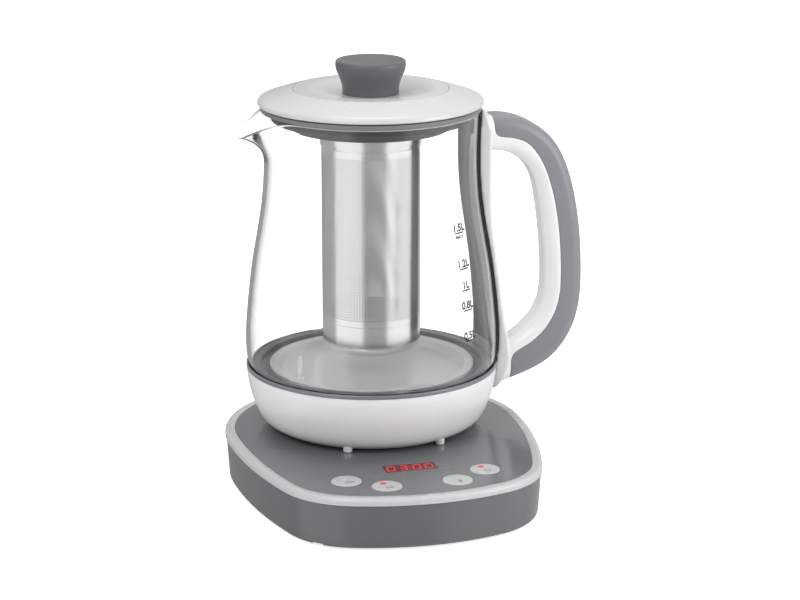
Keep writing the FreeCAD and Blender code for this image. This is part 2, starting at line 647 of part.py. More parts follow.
def collar_ring():
    lip_r = COLLAR_R - COLLAR_LIP_WIDTH
    shelf_in = PLATE_FLANGE_R + 1.8
    step_r = SEAL_SHELF_R + 1.4
    shelf = COLLAR_SHELF_THICK
    inner = HOUSING_R - HOUSING_WALL - TRIM_GAP
    low = PLATE_FLOOR_Z - 1.3
    return turned(polygon([
        (lip_r, COLLAR_TOP_Z), (COLLAR_R - COLLAR_CHAMFER, COLLAR_TOP_Z),
        (COLLAR_R, COLLAR_TOP_Z - COLLAR_CHAMFER), (COLLAR_R, HOUSING_TOP_Z),
        (inner, HOUSING_TOP_Z), (inner, low), (shelf_in, low), (shelf_in, low + shelf - 0.9),
        (step_r, low + shelf - 0.9), (step_r, low + shelf), (inner - 0.4, low + shelf),
        (inner - 0.1, HOUSING_TOP_Z - 0.5), (lip_r, COLLAR_TOP_Z - 0.8),
    ]))


def glass_seal():
    low = PLATE_FLOOR_Z + 1.15
    shelf = COLLAR_TOP_Z + 0.1
    edge = GLASS_FOOT_R - GLASS_WALL
    return turned(polygon([
        (PLATE_FLANGE_R + 0.2, low), (GLASS_FOOT_R - 0.1, low), (GLASS_FOOT_R - 0.1, GLASS_FOOT_Z - 0.1),
        (edge - 0.2, GLASS_FOOT_Z - 0.1), (edge - 0.1, GLASS_FOOT_Z + 1.0), (edge + 1.0, shelf),
        (SEAL_SHELF_R + SEAL_LIP, shelf), (SEAL_SHELF_R, shelf - SEAL_LIP),
        (SEAL_SHELF_R, low + SEAL_FLOOR_THICK), (PLATE_FLANGE_R + 0.2, low + SEAL_FLOOR_THICK),
    ]))


def heating_plate():
    top = PLATE_TOP_Z
    floor = PLATE_FLOOR_Z
    out = PLATE_FLANGE_R
    step = out - PLATE_FLANGE_WIDTH
    thick = PLATE_THICK
    brim = floor + PLATE_BRIM_RISE
    brim_r = SEAL_SHELF_R + 0.5
    upper = [(brim_r, brim), (out, brim), (out, top - 0.5), (out - 0.5, top), (step, top),
             (step - 1.6, floor + 0.8), (step - 2.6, floor), (0, floor)]
    lower = [(0, floor - thick), (step - 2.3, floor - thick), (step - 0.9, floor + 0.3),
             (step + 0.6, top - thick), (out - thick, top - thick), (out - thick, brim - thick),
             (brim_r, brim - thick)]
    return turned(polygon(upper + lower)).cut(cylinder(PROBE_R + 0.1, 0, top, PROBE_SPOT))


def heat_spreader():
    high = PLATE_FLOOR_Z - PLATE_THICK
    disc = cylinder(SPREADER_R, high - SPREADER_THICK, high)
    return disc.cut(cylinder(PROBE_R + 1.0, high - SPREADER_THICK - 1, high + 1, PROBE_SPOT))


def heating_element():
    high = PLATE_FLOOR_Z - PLATE_THICK - SPREADER_THICK
    centre_z = high - ELEMENT_TUBE_R + ELEMENT_FLAT
    tube = Part.makeTorus(ELEMENT_RING_R, ELEMENT_TUBE_R, V(0, 0, centre_z), UP, -180, 180, ELEMENT_SWEEP)
    flat = cylinder(2 * ELEMENT_RING_R, high, high + 2 * ELEMENT_TUBE_R)
    gap = 360 - ELEMENT_SWEEP
    solid = tube.cut(flat)
    for angle in (0.0, ELEMENT_SWEEP):
        spot = (ELEMENT_RING_R * math.cos(math.radians(angle)), ELEMENT_RING_R * math.sin(math.radians(angle)))
        solid = solid.fuse(cylinder(1.6, centre_z - 12.0, centre_z, spot))
    solid.rotate(V(0, 0, 0), UP, 90 + gap / 2)
    return solid.removeSplitter()


def thermostat():
    high = PLATE_FLOOR_Z - PLATE_THICK - SPREADER_THICK
    body = cylinder(THERMOSTAT_R, high - THERMOSTAT_HEIGHT, high)
    tabs = [block(6.0, 1.0, high - THERMOSTAT_HEIGHT - 6.0, high - 1.0, (x, 0.0)) for x in (-7.5, 7.5)]
    return joined(body, *tabs)


def temperature_probe():
    floor = PLATE_FLOOR_Z
    low = floor - PLATE_THICK - SPREADER_THICK - 3.0
    pin = cylinder(PROBE_R, low, floor + PROBE_HEIGHT, PROBE_SPOT)
    pin = pin.makeFillet(PROBE_R * 0.9, edges_at(pin, floor + PROBE_HEIGHT))
    nut = cylinder(PROBE_NUT_R, floor, floor + PROBE_NUT_HEIGHT, PROBE_SPOT)
    return joined(pin, nut)


def spout(shrink):
    """The pouring lip: tear shapes that grow from the neck to past the rim."""
    wires = []
    for share in (0.0, 0.35, 0.75, 1.35):
        z = SPOUT_ROOT_Z + share * (SPOUT_TIP_Z - SPOUT_ROOT_Z)
        neck = glass_radius(z) - shrink
        reach = neck + 0.4 + (SPOUT_REACH - glass_radius(z)) * share ** 1.6
        nose = SPOUT_NOSE_R - shrink * 0.6
        nose_x = -(reach - nose)
        touch = math.degrees(math.acos((neck - nose) / (reach - nose)))
        start, end = 180 - touch, 180 + touch
        first = V(neck * math.cos(math.radians(start)), neck * math.sin(math.radians(start)), z)
        last = V(first.x, -first.y, z)
        nose_first = V(nose_x + nose * math.cos(math.radians(start)),
                       nose * math.sin(math.radians(start)), z)
        nose_last = V(nose_first.x, -nose_first.y, z)
        wires.append(Part.Wire([
            Part.Arc(last, V(neck, 0, z), first).toShape(),
            Part.LineSegment(first, nose_first).toShape(),
            Part.Arc(nose_first, V(-reach, 0, z), nose_last).toShape(),
            Part.LineSegment(nose_last, last).toShape(),
        ]))
    return Part.makeLoft(wires, True, False)


def glass_jug():
    outside = [(r, z) for z, r in GLASS_STATIONS] + [(GLASS_RIM_R, GLASS_RIM_Z)]
    inside = [(r - GLASS_WALL, z) for r, z in outside]
    foot_in = GLASS_FOOT_R - GLASS_WALL
    outer = turned(face_of(
        [(0, GLASS_FOOT_Z), (GLASS_FOOT_R, GLASS_FOOT_Z)], [(GLASS_FOOT_R, GLASS_FOOT_Z), outside[0]],
        outside, [outside[-1], (0, GLASS_RIM_Z)], [(0, GLASS_RIM_Z), (0, GLASS_FOOT_Z)]))
    low = GLASS_FOOT_Z - 1.0
    high = GLASS_RIM_Z + 1.0
    inner = turned(face_of(
        [(0, low), (foot_in, low)], [(foot_in, low), (foot_in, GLASS_FOOT_Z)],
        [(foot_in, GLASS_FOOT_Z), inside[0]], inside,
        [inside[-1], (inside[-1][0], high)], [(inside[-1][0], high), (0, high)], [(0, high), (0, low)]))
    glass = outer.fuse(spout(0.0)).cut(inner).cut(spout(GLASS_WALL))
    over = block(400, 400, GLASS_RIM_Z, GLASS_RIM_Z + 60)
    lip_x = -GLASS_RIM_R * 0.8
    fall = (GLASS_RIM_Z - SPOUT_TIP_Z) / (SPOUT_REACH + lip_x)
    far = SPOUT_REACH + 40
    wedge = polygon([(lip_x, GLASS_RIM_Z), (-far, GLASS_RIM_Z - fall * (far + lip_x)), (-far, GLASS_RIM_Z + 60),
                     (lip_x, GLASS_RIM_Z + 60)]).extrude(V(0, 400, 0))
    wedge.translate(V(0, -200, 0))
    return glass.cut(over).cut(wedge).removeSplitter()


def spine_liner():
    stations = [(z, r) for z, r in GLASS_STATIONS if z > COLLAR_TOP_Z + 1.0]
    stations.append((LINER_TOP_Z, glass_radius(LINER_TOP_Z)))
    near = [(r + LINER_GAP, z) for z, r in stations]
    far = [(r + LINER_GAP + LINER_THICK, z) for z, r in stations]
    face = face_of(near, [near[-1], far[-1]], list(reversed(far)), [far[0], near[0]])
    return turned(face, -LINER_HALF_ANGLE, 2 * LINER_HALF_ANGLE)


def spine():
    """White back strip along the glass, from the rim to a tip below the collar."""
    gap = LINER_GAP + LINER_THICK + TRIM_GAP
    stations = [(z, r) for z, r in GLASS_STATIONS if z > COLLAR_TOP_Z + 1.0]
    near = [(glass_radius(SPINE_TOP_Z) + gap, SPINE_TOP_Z)]
    near += [(r + gap, z) for z, r in reversed(stations)]
    side = COLLAR_R + TRIM_GAP
    tip = SPINE_OUTSIDE[-1]
    top_x = SPINE_OUTSIDE[0][0]
    top = [SPINE_OUTSIDE[0], (top_x - SPINE_SHOULDER_IN[0], SPINE_TOP_Z - SPINE_SHOULDER_DROP),
           (top_x - SPINE_SHOULDER_IN[1], SPINE_TOP_Z)]
    face = face_of(
        near, [near[-1], (side, COLLAR_TOP_Z)], [(side, COLLAR_TOP_Z), (side, SPINE_STEP_Z)],
        [(side, SPINE_STEP_Z), (tip[0] - SPINE_TIP_THICK, tip[1])], [(tip[0] - SPINE_TIP_THICK, tip[1]), tip],
        list(reversed(SPINE_OUTSIDE)), top, [top[-1], near[0]])
    strip = turned(face, -SPINE_HALF_ANGLE, 2 * SPINE_HALF_ANGLE)
    return strip.common(leaf_shape(tip[1]))


def leaf_shape(tip_z):
    """A block whose lower end is leaf-shaped, seen from the handle's side."""
    wide = TAIL_SHOULDER_HALF_WIDTH
    above = SPINE_TOP_Z + wide
    shoulder_z = COLLAR_TOP_Z + TAIL_SHOULDER_RISE
    right = [V(0, wide, shoulder_z), V(0, TAIL_MID_HALF_WIDTH, tip_z + TAIL_MID_RISE),
             V(0, TAIL_HALF_WIDTH, tip_z + TAIL_RISE)]
    left = [V(0, -point.y, point.z) for point in reversed(right)]
    return Part.Face(Part.Wire([
        curve([V(0, -wide, above), V(0, wide, above)]),
        curve([V(0, wide, above), right[0]]),
        curve(right),
        curve([right[-1], V(0, 0, tip_z), left[0]]),
        curve(left),
        curve([left[-1], V(0, -wide, above)]),
    ])).extrude(V(3 * JUG_R, 0, 0))


def handle_loop():
    """The whole loop, white and grey together, before it is parted."""
    outside = HANDLE_OUTSIDE
    inside = HANDLE_INSIDE
    face = face_of(outside, [outside[-1], inside[0]], inside, [inside[-1], outside[0]])
    loop = face.extrude(V(0, 2 * HANDLE_HALF_WIDTH, 0))
    loop.translate(V(0, -HANDLE_HALF_WIDTH, 0))
    long_edges = []
    for edge in loop.Edges:
        flat = all(abs(abs(vertex.Y) - HANDLE_HALF_WIDTH) < 1e-4 for vertex in edge.Vertexes)
        along = abs(edge.Vertexes[0].Y - edge.Vertexes[-1].Y) < 1e-4
        if flat and along and edge.Length > 4 * HANDLE_HALF_WIDTH:
            long_edges.append(edge)
    return loop.makeFillet(HANDLE_ROUND, long_edges)


def grip_zone():
    low, high = GRIP_INSIDE[-1][1], GRIP_INSIDE[0][1]
    outer = 2 * max(x for x, z in HANDLE_OUTSIDE)
    face = face_of(GRIP_INSIDE, [GRIP_INSIDE[-1], (outer, low)], [(outer, low), (outer, high)],
                   [(outer, high), GRIP_INSIDE[0]])
    zone = face.extrude(V(0, 4 * HANDLE_HALF_WIDTH, 0))
    zone.translate(V(0, -2 * HANDLE_HALF_WIDTH, 0))
    return zone


def handle_screw_seat():
    """Where the screw's head rests, on the inside of the housing's wall."""
    return V(HOUSING_R - HOUSING_WALL - 1.4, 0, HANDLE_SCREW_Z)


def handle_screw():
    solid = screw(0.0, HANDLE_SCREW_LENGTH, (0.0, 0.0))
    solid.rotate(V(0, 0, 0), V(0, 1, 0), 90)
    solid.translate(handle_screw_seat())
    return solid


def handle_screw_hole():
    return Part.makeCylinder(SCREW_R + TRIM_GAP, HANDLE_SCREW_LENGTH + 1.0, handle_screw_seat(), V(1, 0, 0))


def lid_cover():
    low = LID_COVER_Z
    crest = (LID_CREST_R, low + LID_EDGE_HEIGHT)
    groove_z = low + LID_GROOVE_RISE
    dish_z = low + LID_DISH_RISE
    groove = LID_GROOVE_R
    face = face_of(
        [(LID_COVER_R - 3.0, low), (LID_COVER_R - 0.6, low)],
        [(LID_COVER_R - 0.6, low), (LID_COVER_R, low + 0.6)],
        [(LID_COVER_R, low + 0.6), (LID_COVER_R - 0.6, low + 2.4), crest],
        [crest, (0.5 * (crest[0] + groove), 0.5 * (crest[1] + groove_z) + 0.8), (groove + 0.5, groove_z)],
        [(groove + 0.5, groove_z), (groove, groove_z - 0.6)],
        [(groove, groove_z - 0.6), (groove - 0.5, groove_z)],
        [(groove - 0.5, groove_z), (LID_DISH_MID_R, groove_z - 0.6), (KNOB_FOOT_R + 1.5, dish_z)],
        [(KNOB_FOOT_R + 1.5, dish_z), (LID_HOLE_R, dish_z)],
        [(LID_HOLE_R, dish_z), (LID_HOLE_R, dish_z - LID_WALL)],
        [(LID_HOLE_R, dish_z - LID_WALL), (KNOB_FOOT_R + 1.5, dish_z - LID_WALL)],
        [(KNOB_FOOT_R + 1.5, dish_z - LID_WALL), (LID_DISH_MID_R, groove_z - 0.6 - LID_WALL),
         (groove, groove_z - LID_WALL)],
        [(groove, groove_z - LID_WALL),
         (0.5 * (crest[0] + groove) - 1.0, 0.5 * (crest[1] + groove_z) + 0.6 - LID_WALL),
         (LID_COVER_R - 3.0, low + 1.6)],
        [(LID_COVER_R - 3.0, low + 1.6), (LID_COVER_R - 3.0, low)],
    )
    return turned(face)


def lid_plug():
    """Grey inner part: flange on the rim, two steps down, and the infuser's socket."""
    low = PLUG_BOTTOM_Z
    step_z = low + PLUG_SKIRT_HEIGHT
    wall = PLUG_WALL_THICK
    boss = PLUG_BOSS_R
    flange_in = LID_FLANGE_R - LID_FLANGE_WIDTH
    socket_r = INFUSER_COLLAR_R + BAYONET_LUG + SLIDE_GAP
    socket_top = low + BAYONET_DEPTH + 0.6
    boss_top = LID_COVER_Z + LID_DISH_RISE - LID_WALL - TRIM_GAP
    cup = turned(polygon([
        (socket_r, low), (PLUG_SKIRT_R, low), (PLUG_SKIRT_R, step_z), (PLUG_STEP_R, step_z),
        (PLUG_STEP_R, LID_Z), (LID_FLANGE_R, LID_Z), (LID_FLANGE_R, LID_COVER_Z - TRIM_GAP),
        (flange_in, LID_COVER_Z - TRIM_GAP),
        (flange_in, LID_Z + wall), (PLUG_STEP_R - wall, LID_Z + wall),
        (PLUG_STEP_R - wall, step_z + wall), (PLUG_SKIRT_R - wall, step_z + wall),
        (PLUG_SKIRT_R - wall, low + wall), (socket_r + wall, low + wall),
        (socket_r + wall, socket_top + wall), (boss, socket_top + wall), (boss, boss_top),
        (SCREW_R + TRIM_GAP, boss_top), (SCREW_R + TRIM_GAP, socket_top), (socket_r, socket_top),
    ]))
    ledge = ring(socket_r + 0.5, INFUSER_COLLAR_R + SLIDE_GAP, low, low + 1.6)
    gate = Part.makeCylinder(socket_r, 4.0, V(0, 0, low - 1), UP, 2 * BAYONET_LUG_ANGLE * 0.6)
    gate.rotate(V(0, 0, 0), UP, BAYONET_LUG_ANGLE * 1.4)
    for cutter in around(gate, BAYONET_COUNT):
        ledge = ledge.cut(cutter)
    return joined(cup, ledge)


def lid_seal():
    low = PLUG_BOTTOM_Z + PLUG_SKIRT_HEIGHT + 1.2
    out = GLASS_RIM_R - GLASS_WALL - SLIDE_GAP
    face = polygon([(PLUG_STEP_R + 0.02, low), (out - 1.2, low), (out - 0.8, low + 1.2), (out - 0.9, low + 1.6),
                    (out - 1.2, low + 2.0), (out - 0.2, low + 3.2), (PLUG_STEP_R + 0.02, low + 3.2)])
    start = 180 + LID_SEAL_GAP_ANGLE
    return turned(face, start, 360 - 2 * LID_SEAL_GAP_ANGLE)


def lid_knob():
    low = LID_COVER_Z + LID_DISH_RISE
    high = low + KNOB_HEIGHT
    face = face_of(
        [(0, low + 9.0), (SCREW_R, low + 9.0)], [(SCREW_R, low + 9.0), (SCREW_R, low)],
        [(SCREW_R, low), (KNOB_FOOT_R, low)],
        [(KNOB_FOOT_R, low), (KNOB_FOOT_R - 0.3, low + 5.0), (KNOB_FOOT_R + 1.4, low + 10.5),
         (KNOB_TOP_R - 0.7, low + 14.5), (KNOB_TOP_R, low + 18.0)],
        [(KNOB_TOP_R, low + 18.0), (KNOB_TOP_R - 0.4, high - 0.6), (KNOB_TOP_R - 1.4, high)],
        [(KNOB_TOP_R - 1.4, high), (KNOB_TOP_R - 2.2, high - 0.3)],
        [(KNOB_TOP_R - 2.2, high - 0.3), (0.6 * KNOB_TOP_R, high - KNOB_DISH * 0.8),
         (0.25 * KNOB_TOP_R, high - KNOB_DISH)],
        [(0.25 * KNOB_TOP_R, high - KNOB_DISH), (0, high - KNOB_DISH)],
        [(0, high - KNOB_DISH), (0, low + 9.0)],
    )
    return turned(face)


def knob_screw():
    seat = PLUG_BOTTOM_Z + BAYONET_DEPTH + 0.6
    reach = LID_COVER_Z + LID_DISH_RISE + 8.0 - seat
    return screw(seat, reach, (0.0, 0.0))


def infuser_collar():
    low = PLUG_BOTTOM_Z - INFUSER_COLLAR_DROP
    high = PLUG_BOTTOM_Z + BAYONET_DEPTH
    inner = INFUSER_R + TRIM_GAP
    body = turned(polygon([
        (inner, low), (INFUSER_COLLAR_R - 0.3, low), (INFUSER_COLLAR_R, low + 0.5),
        (INFUSER_COLLAR_R, high), (INFUSER_R - INFUSER_WALL, high),
        (INFUSER_R - INFUSER_WALL, high - 0.8), (inner, high - 0.8),
    ]))
    lug_low = PLUG_BOTTOM_Z + 1.6 + SLIDE_GAP
    lug = Part.makeCylinder(INFUSER_COLLAR_R + BAYONET_LUG, BAYONET_LUG_HEIGHT, V(0, 0, lug_low), UP,
                            BAYONET_LUG_ANGLE)
    lug = lug.cut(cylinder(INFUSER_R + 0.5, lug_low - 1, lug_low + 4))
    return joined(body, *around(lug, BAYONET_COUNT))


def infuser_tube():
    low = INFUSER_BOTTOM_Z + INFUSER_BASE_HEIGHT
    high = PLUG_BOTTOM_Z + BAYONET_DEPTH - 0.8 - 0.05
    return ring(INFUSER_R, INFUSER_R - INFUSER_WALL, low, high)


def infuser_base():
    low = INFUSER_BOTTOM_Z
    high = low + INFUSER_BASE_HEIGHT
    corner = INFUSER_CORNER_R
    wall = INFUSER_WALL
    slope = corner * math.sin(math.radians(45))
    out = INFUSER_R
    face = face_of(
        [(0, low), (out - corner, low)],
        [(out - corner, low), (out - corner + slope, low + corner - slope), (out, low + corner)],
        [(out, low + corner), (out, high)], [(out, high), (out - wall, high)],
        [(out - wall, high), (out - wall, low + corner)],
        [(out - wall, low + corner), (out - corner + slope - wall * 0.7, low + corner - slope + wall * 0.7),
         (out - corner, low + wall)],
        [(out - corner, low + wall), (0, low + wall)], [(0, low + wall), (0, low)],
    )
    return turned(face)


def all_pieces():
    loop = handle_loop()
    zone = grip_zone()
    pieces = {
        "base_shell": base_shell(),
        "base_rim": base_rim(),
        "base_top_panel": top_panel(),
        "display_window": display_window(),
        "display_module": display_module(),
        "control_board": control_board(),
        "tact_switches": tact_switches(),
        "power_board": power_board(),
        "base_connector": base_connector(),
        "base_contacts": base_contacts(),
        "cord_gland": cord_gland(),
        "rubber_feet": rubber_feet(),
        "base_screws": base_screws(),
        "glass_jug": glass_jug(),
        "collar_ring": collar_ring(),
        "glass_seal": glass_seal(),
        "heating_plate": heating_plate(),
        "heat_spreader": heat_spreader(),
        "heating_element": heating_element(),
        "thermostat": thermostat(),
        "temperature_probe": temperature_probe(),
        "jug_housing": jug_housing(),
        "jug_bottom_cover": bottom_cover(),
        "jug_connector": jug_connector(),
        "jug_contacts": jug_contacts(),
        "spine_liner": spine_liner(),
        "handle_shell": joined(spine(), loop.cut(zone)).cut(handle_screw_hole()),
        "handle_grip": loop.common(zone),
        "handle_screw": handle_screw(),
        "lid_cover": lid_cover(),
        "lid_plug": lid_plug(),
        "lid_seal": lid_seal(),
        "lid_knob": lid_knob(),
        "knob_screw": knob_screw(),
        "infuser_collar": infuser_collar(),
        "infuser_tube": infuser_tube(),
        "infuser_base": infuser_base(),
    }
    for name, spot in button_spots().items():
        pieces["button_" + name] = button(spot)
    return pieces


os.makedirs("parts", exist_ok=True)
for name, shape in all_pieces().items():
    if not shape.isValid() or not shape.Solids:
        raise ValueError(name + " is not a sound solid")
    shape.exportStep("parts/" + name + ".step")
    print(name, len(shape.Solids), "solid, volume", round(shape.Volume, 1))
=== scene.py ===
import json
import math

import bmesh
import bpy
from mathutils import Matrix, Vector


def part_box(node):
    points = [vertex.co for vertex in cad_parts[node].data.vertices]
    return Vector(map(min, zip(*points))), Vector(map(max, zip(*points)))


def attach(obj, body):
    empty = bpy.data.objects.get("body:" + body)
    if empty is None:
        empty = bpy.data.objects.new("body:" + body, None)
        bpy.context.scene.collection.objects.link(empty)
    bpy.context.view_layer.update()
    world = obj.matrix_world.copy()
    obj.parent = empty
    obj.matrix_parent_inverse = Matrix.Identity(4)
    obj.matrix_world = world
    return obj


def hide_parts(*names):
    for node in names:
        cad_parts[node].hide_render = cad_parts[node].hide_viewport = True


bl_info = {
    "name": "Tea Maker Dressing",
    "version": (1, 0, 0),
    "blender": (4, 5, 0),
    "location": "View3D > Sidebar > Tea Maker",
    "description": "Dresses the tea maker's parts with finished surfaces and sets up the studio",
    "category": "Object",
}

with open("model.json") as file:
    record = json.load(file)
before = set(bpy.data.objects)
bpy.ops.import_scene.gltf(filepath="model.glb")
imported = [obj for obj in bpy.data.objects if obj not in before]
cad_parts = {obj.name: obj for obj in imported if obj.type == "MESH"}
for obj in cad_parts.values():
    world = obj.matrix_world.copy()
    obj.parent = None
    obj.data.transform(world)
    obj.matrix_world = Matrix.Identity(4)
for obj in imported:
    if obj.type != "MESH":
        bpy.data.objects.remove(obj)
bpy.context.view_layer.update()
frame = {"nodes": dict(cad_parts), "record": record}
MM = 0.001
# Node groups and finished materials, shared by the steps
HOLD = {"looks": {}}


def top_of(node):
    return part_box(node)[1][2]


def bottom_of(node):
    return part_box(node)[0][2]


def radius_of(node):
    return max(-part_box(node)[0][1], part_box(node)[1][1])


COLLAR_TOP = top_of("collar_ring")
COLLAR_LOW = top_of("jug_housing")
GLASS_TOP = top_of("glass_jug")
GLASS_LOW = bottom_of("glass_jug")
LID_EDGE = bottom_of("lid_cover")
PLUG_LOW = bottom_of("lid_plug")
SIGN_THICK = 0.06 * MM
GLASS_IOR = 1.47
# The dark strip shows a little narrower in the photo than its solid
LINER_SHARE = 0.8


# Shared sizes and colours

def length(name, value, text):
    return bpy.props.FloatProperty(name=name, description=text, default=value, precision=5,
                                   subtype="DISTANCE", unit="LENGTH")


def turn_angle(name, degrees, text):
    return bpy.props.FloatProperty(name=name, description=text, default=math.radians(degrees),
                                   subtype="ANGLE", unit="ROTATION")


def tint(name, value, text):
    return bpy.props.FloatVectorProperty(name=name, description=text, default=value, size=3,
                                         min=0.0, max=1.0, subtype="COLOR")


class TeaJugSizes(bpy.types.PropertyGroup):
    wall: length("Glass wall", 2.2 * MM, "Thickness of the glass")
    spout_angle: turn_angle("Spout half angle", 37, "Where the spout leaves the rim")
    spout_blunt: turn_angle("Spout tip angle", 3.5, "Half angle over which the tip is rounded")
    spout_root: length("Spout root", 196 * MM, "Height where the spout starts to leave the neck")
    spout_drop: length("Spout drop", 13.6 * MM, "How far the spout's tip lies below the rim")
    spout_reach: length("Spout reach", 82.0 * MM, "From the axis to the tip of the spout")
    mark_angle: turn_angle("Level mark angle", 36, "Angle of the marks from the front")
    mark_height: length("Level mark height", 4.6 * MM, "Height of the figures of the level marks")


class TeaLidSizes(bpy.types.PropertyGroup):
    crest_drop: length("Edge height", 3.7 * MM, "Height of the cover's rounded edge")
    groove_radius: length("Groove radius", 46.9 * MM, "Radius of the fine groove round the cover")
    hole_columns: bpy.props.IntProperty(name="Hole columns", description="Holes round the infuser",
                                        default=112, min=24)
    hole_rows: bpy.props.IntProperty(name="Hole rows", description="Holes up the infuser",
                                     default=62, min=10)


class TeaBaseSizes(bpy.types.PropertyGroup):
    digit_height: length("Digit height", 7.4 * MM, "Height of the lit figures in the display")
    digit_width: length("Digit width", 4.2 * MM, "Width of one lit figure")
    dot_radius: length("Light radius", 2.1 * MM, "Radius of the light dot in a button")


class TeaColours(bpy.types.PropertyGroup):
    # Lighter than the lid and rim copies of the same plastic: painted light on the downward-facing bowl
    white: tint("White plastic", (0.86, 0.87, 0.865), "Bowl housing, spine and handle")
    # Darker copy of the white plastic: painted shade on the lid against the strong top light
    lid_white_painted_shade: tint("Lid white", (0.63, 0.64, 0.636), "Lid cover")
    # Darker copy of the white plastic: painted shade on the base rim and buttons
    rim_white_painted_shade: tint("Rim white", (0.56, 0.57, 0.575), "Rim of the base and buttons")
    grey: tint("Grip grey", (0.232, 0.237, 0.258), "Soft grip of the handle")
    knob: tint("Knob grey", (0.122, 0.125, 0.130), "Knob on the lid")
    plug: tint("Plug grey", (0.185, 0.188, 0.199), "Flange of the lid's plug")
    base: tint("Base grey", (0.122, 0.125, 0.129), "Side of the base")
    panel: tint("Panel grey", (0.112, 0.115, 0.122), "Top panel of the base")
    collar: tint("Collar grey", (0.190, 0.193, 0.220), "Ring under the glass")
    liner: tint("Liner grey", (0.060, 0.061, 0.065), "Strip behind the glass")
    steel: tint("Steel", (0.85, 0.845, 0.838), "Infuser and heating plate")
    glow: tint("Display red", (0.85, 0.012, 0.012), "Lit figures and dots")
    print_ink: tint("Print", (0.045, 0.045, 0.05), "Level marks and button pictograms")


# Shader groups

def plug(tree, value, target):
    """Links a socket, or sets a plain value."""
    if isinstance(value, bpy.types.NodeSocket):
        tree.links.new(value, target)
    else:
        target.default_value = value


def add(tree, kind, **inputs):
    made = tree.nodes.new("ShaderNode" + kind)
    for name, value in inputs.items():
        plug(tree, value, made.inputs[name])
    return made


def add_math(tree, operation, *inputs):
    made = tree.nodes.new("ShaderNodeMath")
    made.operation = operation
    for value, target in zip(inputs, made.inputs):
        plug(tree, value, target)
    return made.outputs[0]


def add_vector(tree, operation, vector, other, name="Scale"):
    """A vector scaled by a number, or combined with a second vector given by its input's name."""
    made = tree.nodes.new("ShaderNodeVectorMath")
    made.operation = operation
    plug(tree, vector, made.inputs[0])
    plug(tree, other, made.inputs[name])
    return made.outputs["Vector"]


def add_ramp(tree, share, stops):
    made = add(tree, "ValToRGB", Fac=share)
    elements = made.color_ramp.elements
    elements[0].position = stops[0][0]
    elements[1].position = stops[-1][0]
    for position, _ in stops[1:-1]:
        elements.new(position)
    for element, (_, colour) in zip(elements, stops):
        element.color = (*colour, 1)
    return made.outputs["Color"]


def new_group(name, inputs, outputs):
    """A shader group with its sockets; returns it with what comes in and what goes out."""
    group = bpy.data.node_groups.new(name, "ShaderNodeTree")
    for label, kind, value in inputs:
        made = group.interface.new_socket(name=label, in_out="INPUT", socket_type="NodeSocket" + kind)
        if value is not None:
            made.default_value = value
    for label, kind in outputs:
        group.interface.new_socket(name=label, in_out="OUTPUT", socket_type="NodeSocket" + kind)
    given = group.nodes.new("NodeGroupInput").outputs
    result = group.nodes.new("NodeGroupOutput").inputs
    return group, given, result


SURFACE = (("Colour", "Color"), ("Roughness", "Float"), ("Height", "Float"))


def moulded_group():
    """Fine moulded surface: slight tone drift, roughness drift and a low grain."""
    group, given, result = new_group("moulded_surface", (
        ("Colour", "Color", (0.5, 0.5, 0.5, 1)), ("Drift", "Float", 0.03), ("Roughness", "Float", 0.3),
        ("Grain Scale", "Float", 2500.0)), SURFACE)
    place = add(group, "TexCoord").outputs["Object"]
    broad = add(group, "TexNoise", Vector=place, Scale=22.0, Detail=3.0).outputs["Fac"]
    fine = add(group, "TexNoise", Vector=place, Scale=given["Grain Scale"], Detail=2.0).outputs["Fac"]
    centred = add_math(group, "SUBTRACT", broad, 0.5)
    bright = add_math(group, "ADD", add_math(group, "MULTIPLY", centred, given["Drift"]), 1.0)
    plug(group, add_vector(group, "SCALE", given["Colour"], bright), result["Colour"])
    plug(group, add_math(group, "MULTIPLY_ADD", centred, 0.12, given["Roughness"]), result["Roughness"])
    plug(group, fine, result["Height"])
    return group


def brushed_group():
    """Brushed steel: fine lines, round the axis or along it, in tone, roughness and height."""
    group, given, result = new_group("brushed_lines", (
        ("Colour", "Color", (0.6, 0.6, 0.6, 1)), ("Stretch", "Vector", (40.0, 40.0, 900.0)),
        ("Roughness", "Float", 0.2), ("Strength", "Float", 0.12)), SURFACE)
    place = add(group, "TexCoord").outputs["Object"]
    stretched = add_vector(group, "MULTIPLY", place, given["Stretch"], 1)
    lines = add(group, "TexNoise", Vector=stretched, Scale=1.0, Detail=4.0).outputs["Fac"]
    centred = add_math(group, "SUBTRACT", lines, 0.5)
    scaled = add_math(group, "MULTIPLY_ADD", centred, given["Strength"], 1.0)
    plug(group, add_vector(group, "SCALE", given["Colour"], scaled), result["Colour"])
    plug(group, add_math(group, "MULTIPLY", given["Roughness"], scaled), result["Roughness"])
    plug(group, lines, result["Height"])
    return group


def new_look(name):
    """A material kept under its name, with its shader."""
    material = bpy.data.materials.new(name)
    material.use_nodes = True
    HOLD["looks"][name] = material
    return material.node_tree, material.node_tree.nodes["Principled BSDF"]


def use_group(tree, shader, group, values, bump):
    """Feeds a shader from a surface group, with its height as a low bump."""
    placed = tree.nodes.new("ShaderNodeGroup")
    placed.node_tree = group
    for name, value in values.items():
        placed.inputs[name].default_value = value
    plug(tree, placed.outputs["Colour"], shader.inputs["Base Color"])
    plug(tree, placed.outputs["Roughness"], shader.inputs["Roughness"])
    if bump:
        relief = add(tree, "Bump", Strength=bump, Distance=0.02 * MM, Height=placed.outputs["Height"])
        plug(tree, relief.outputs["Normal"], shader.inputs["Normal"])


def moulded(name, colour, roughness, coat=0.0, drift=0.03, grain=2500.0, bump=0.2, specular=0.5):
    tree, shader = new_look(name)
    values = {"Colour": (*colour, 1), "Drift": drift, "Roughness": roughness, "Grain Scale": grain}
    use_group(tree, shader, HOLD["moulded"], values, bump)
    shader.inputs["Coat Weight"].default_value = coat
    shader.inputs["Coat Roughness"].default_value = 0.14
    shader.inputs["Specular IOR Level"].default_value = specular


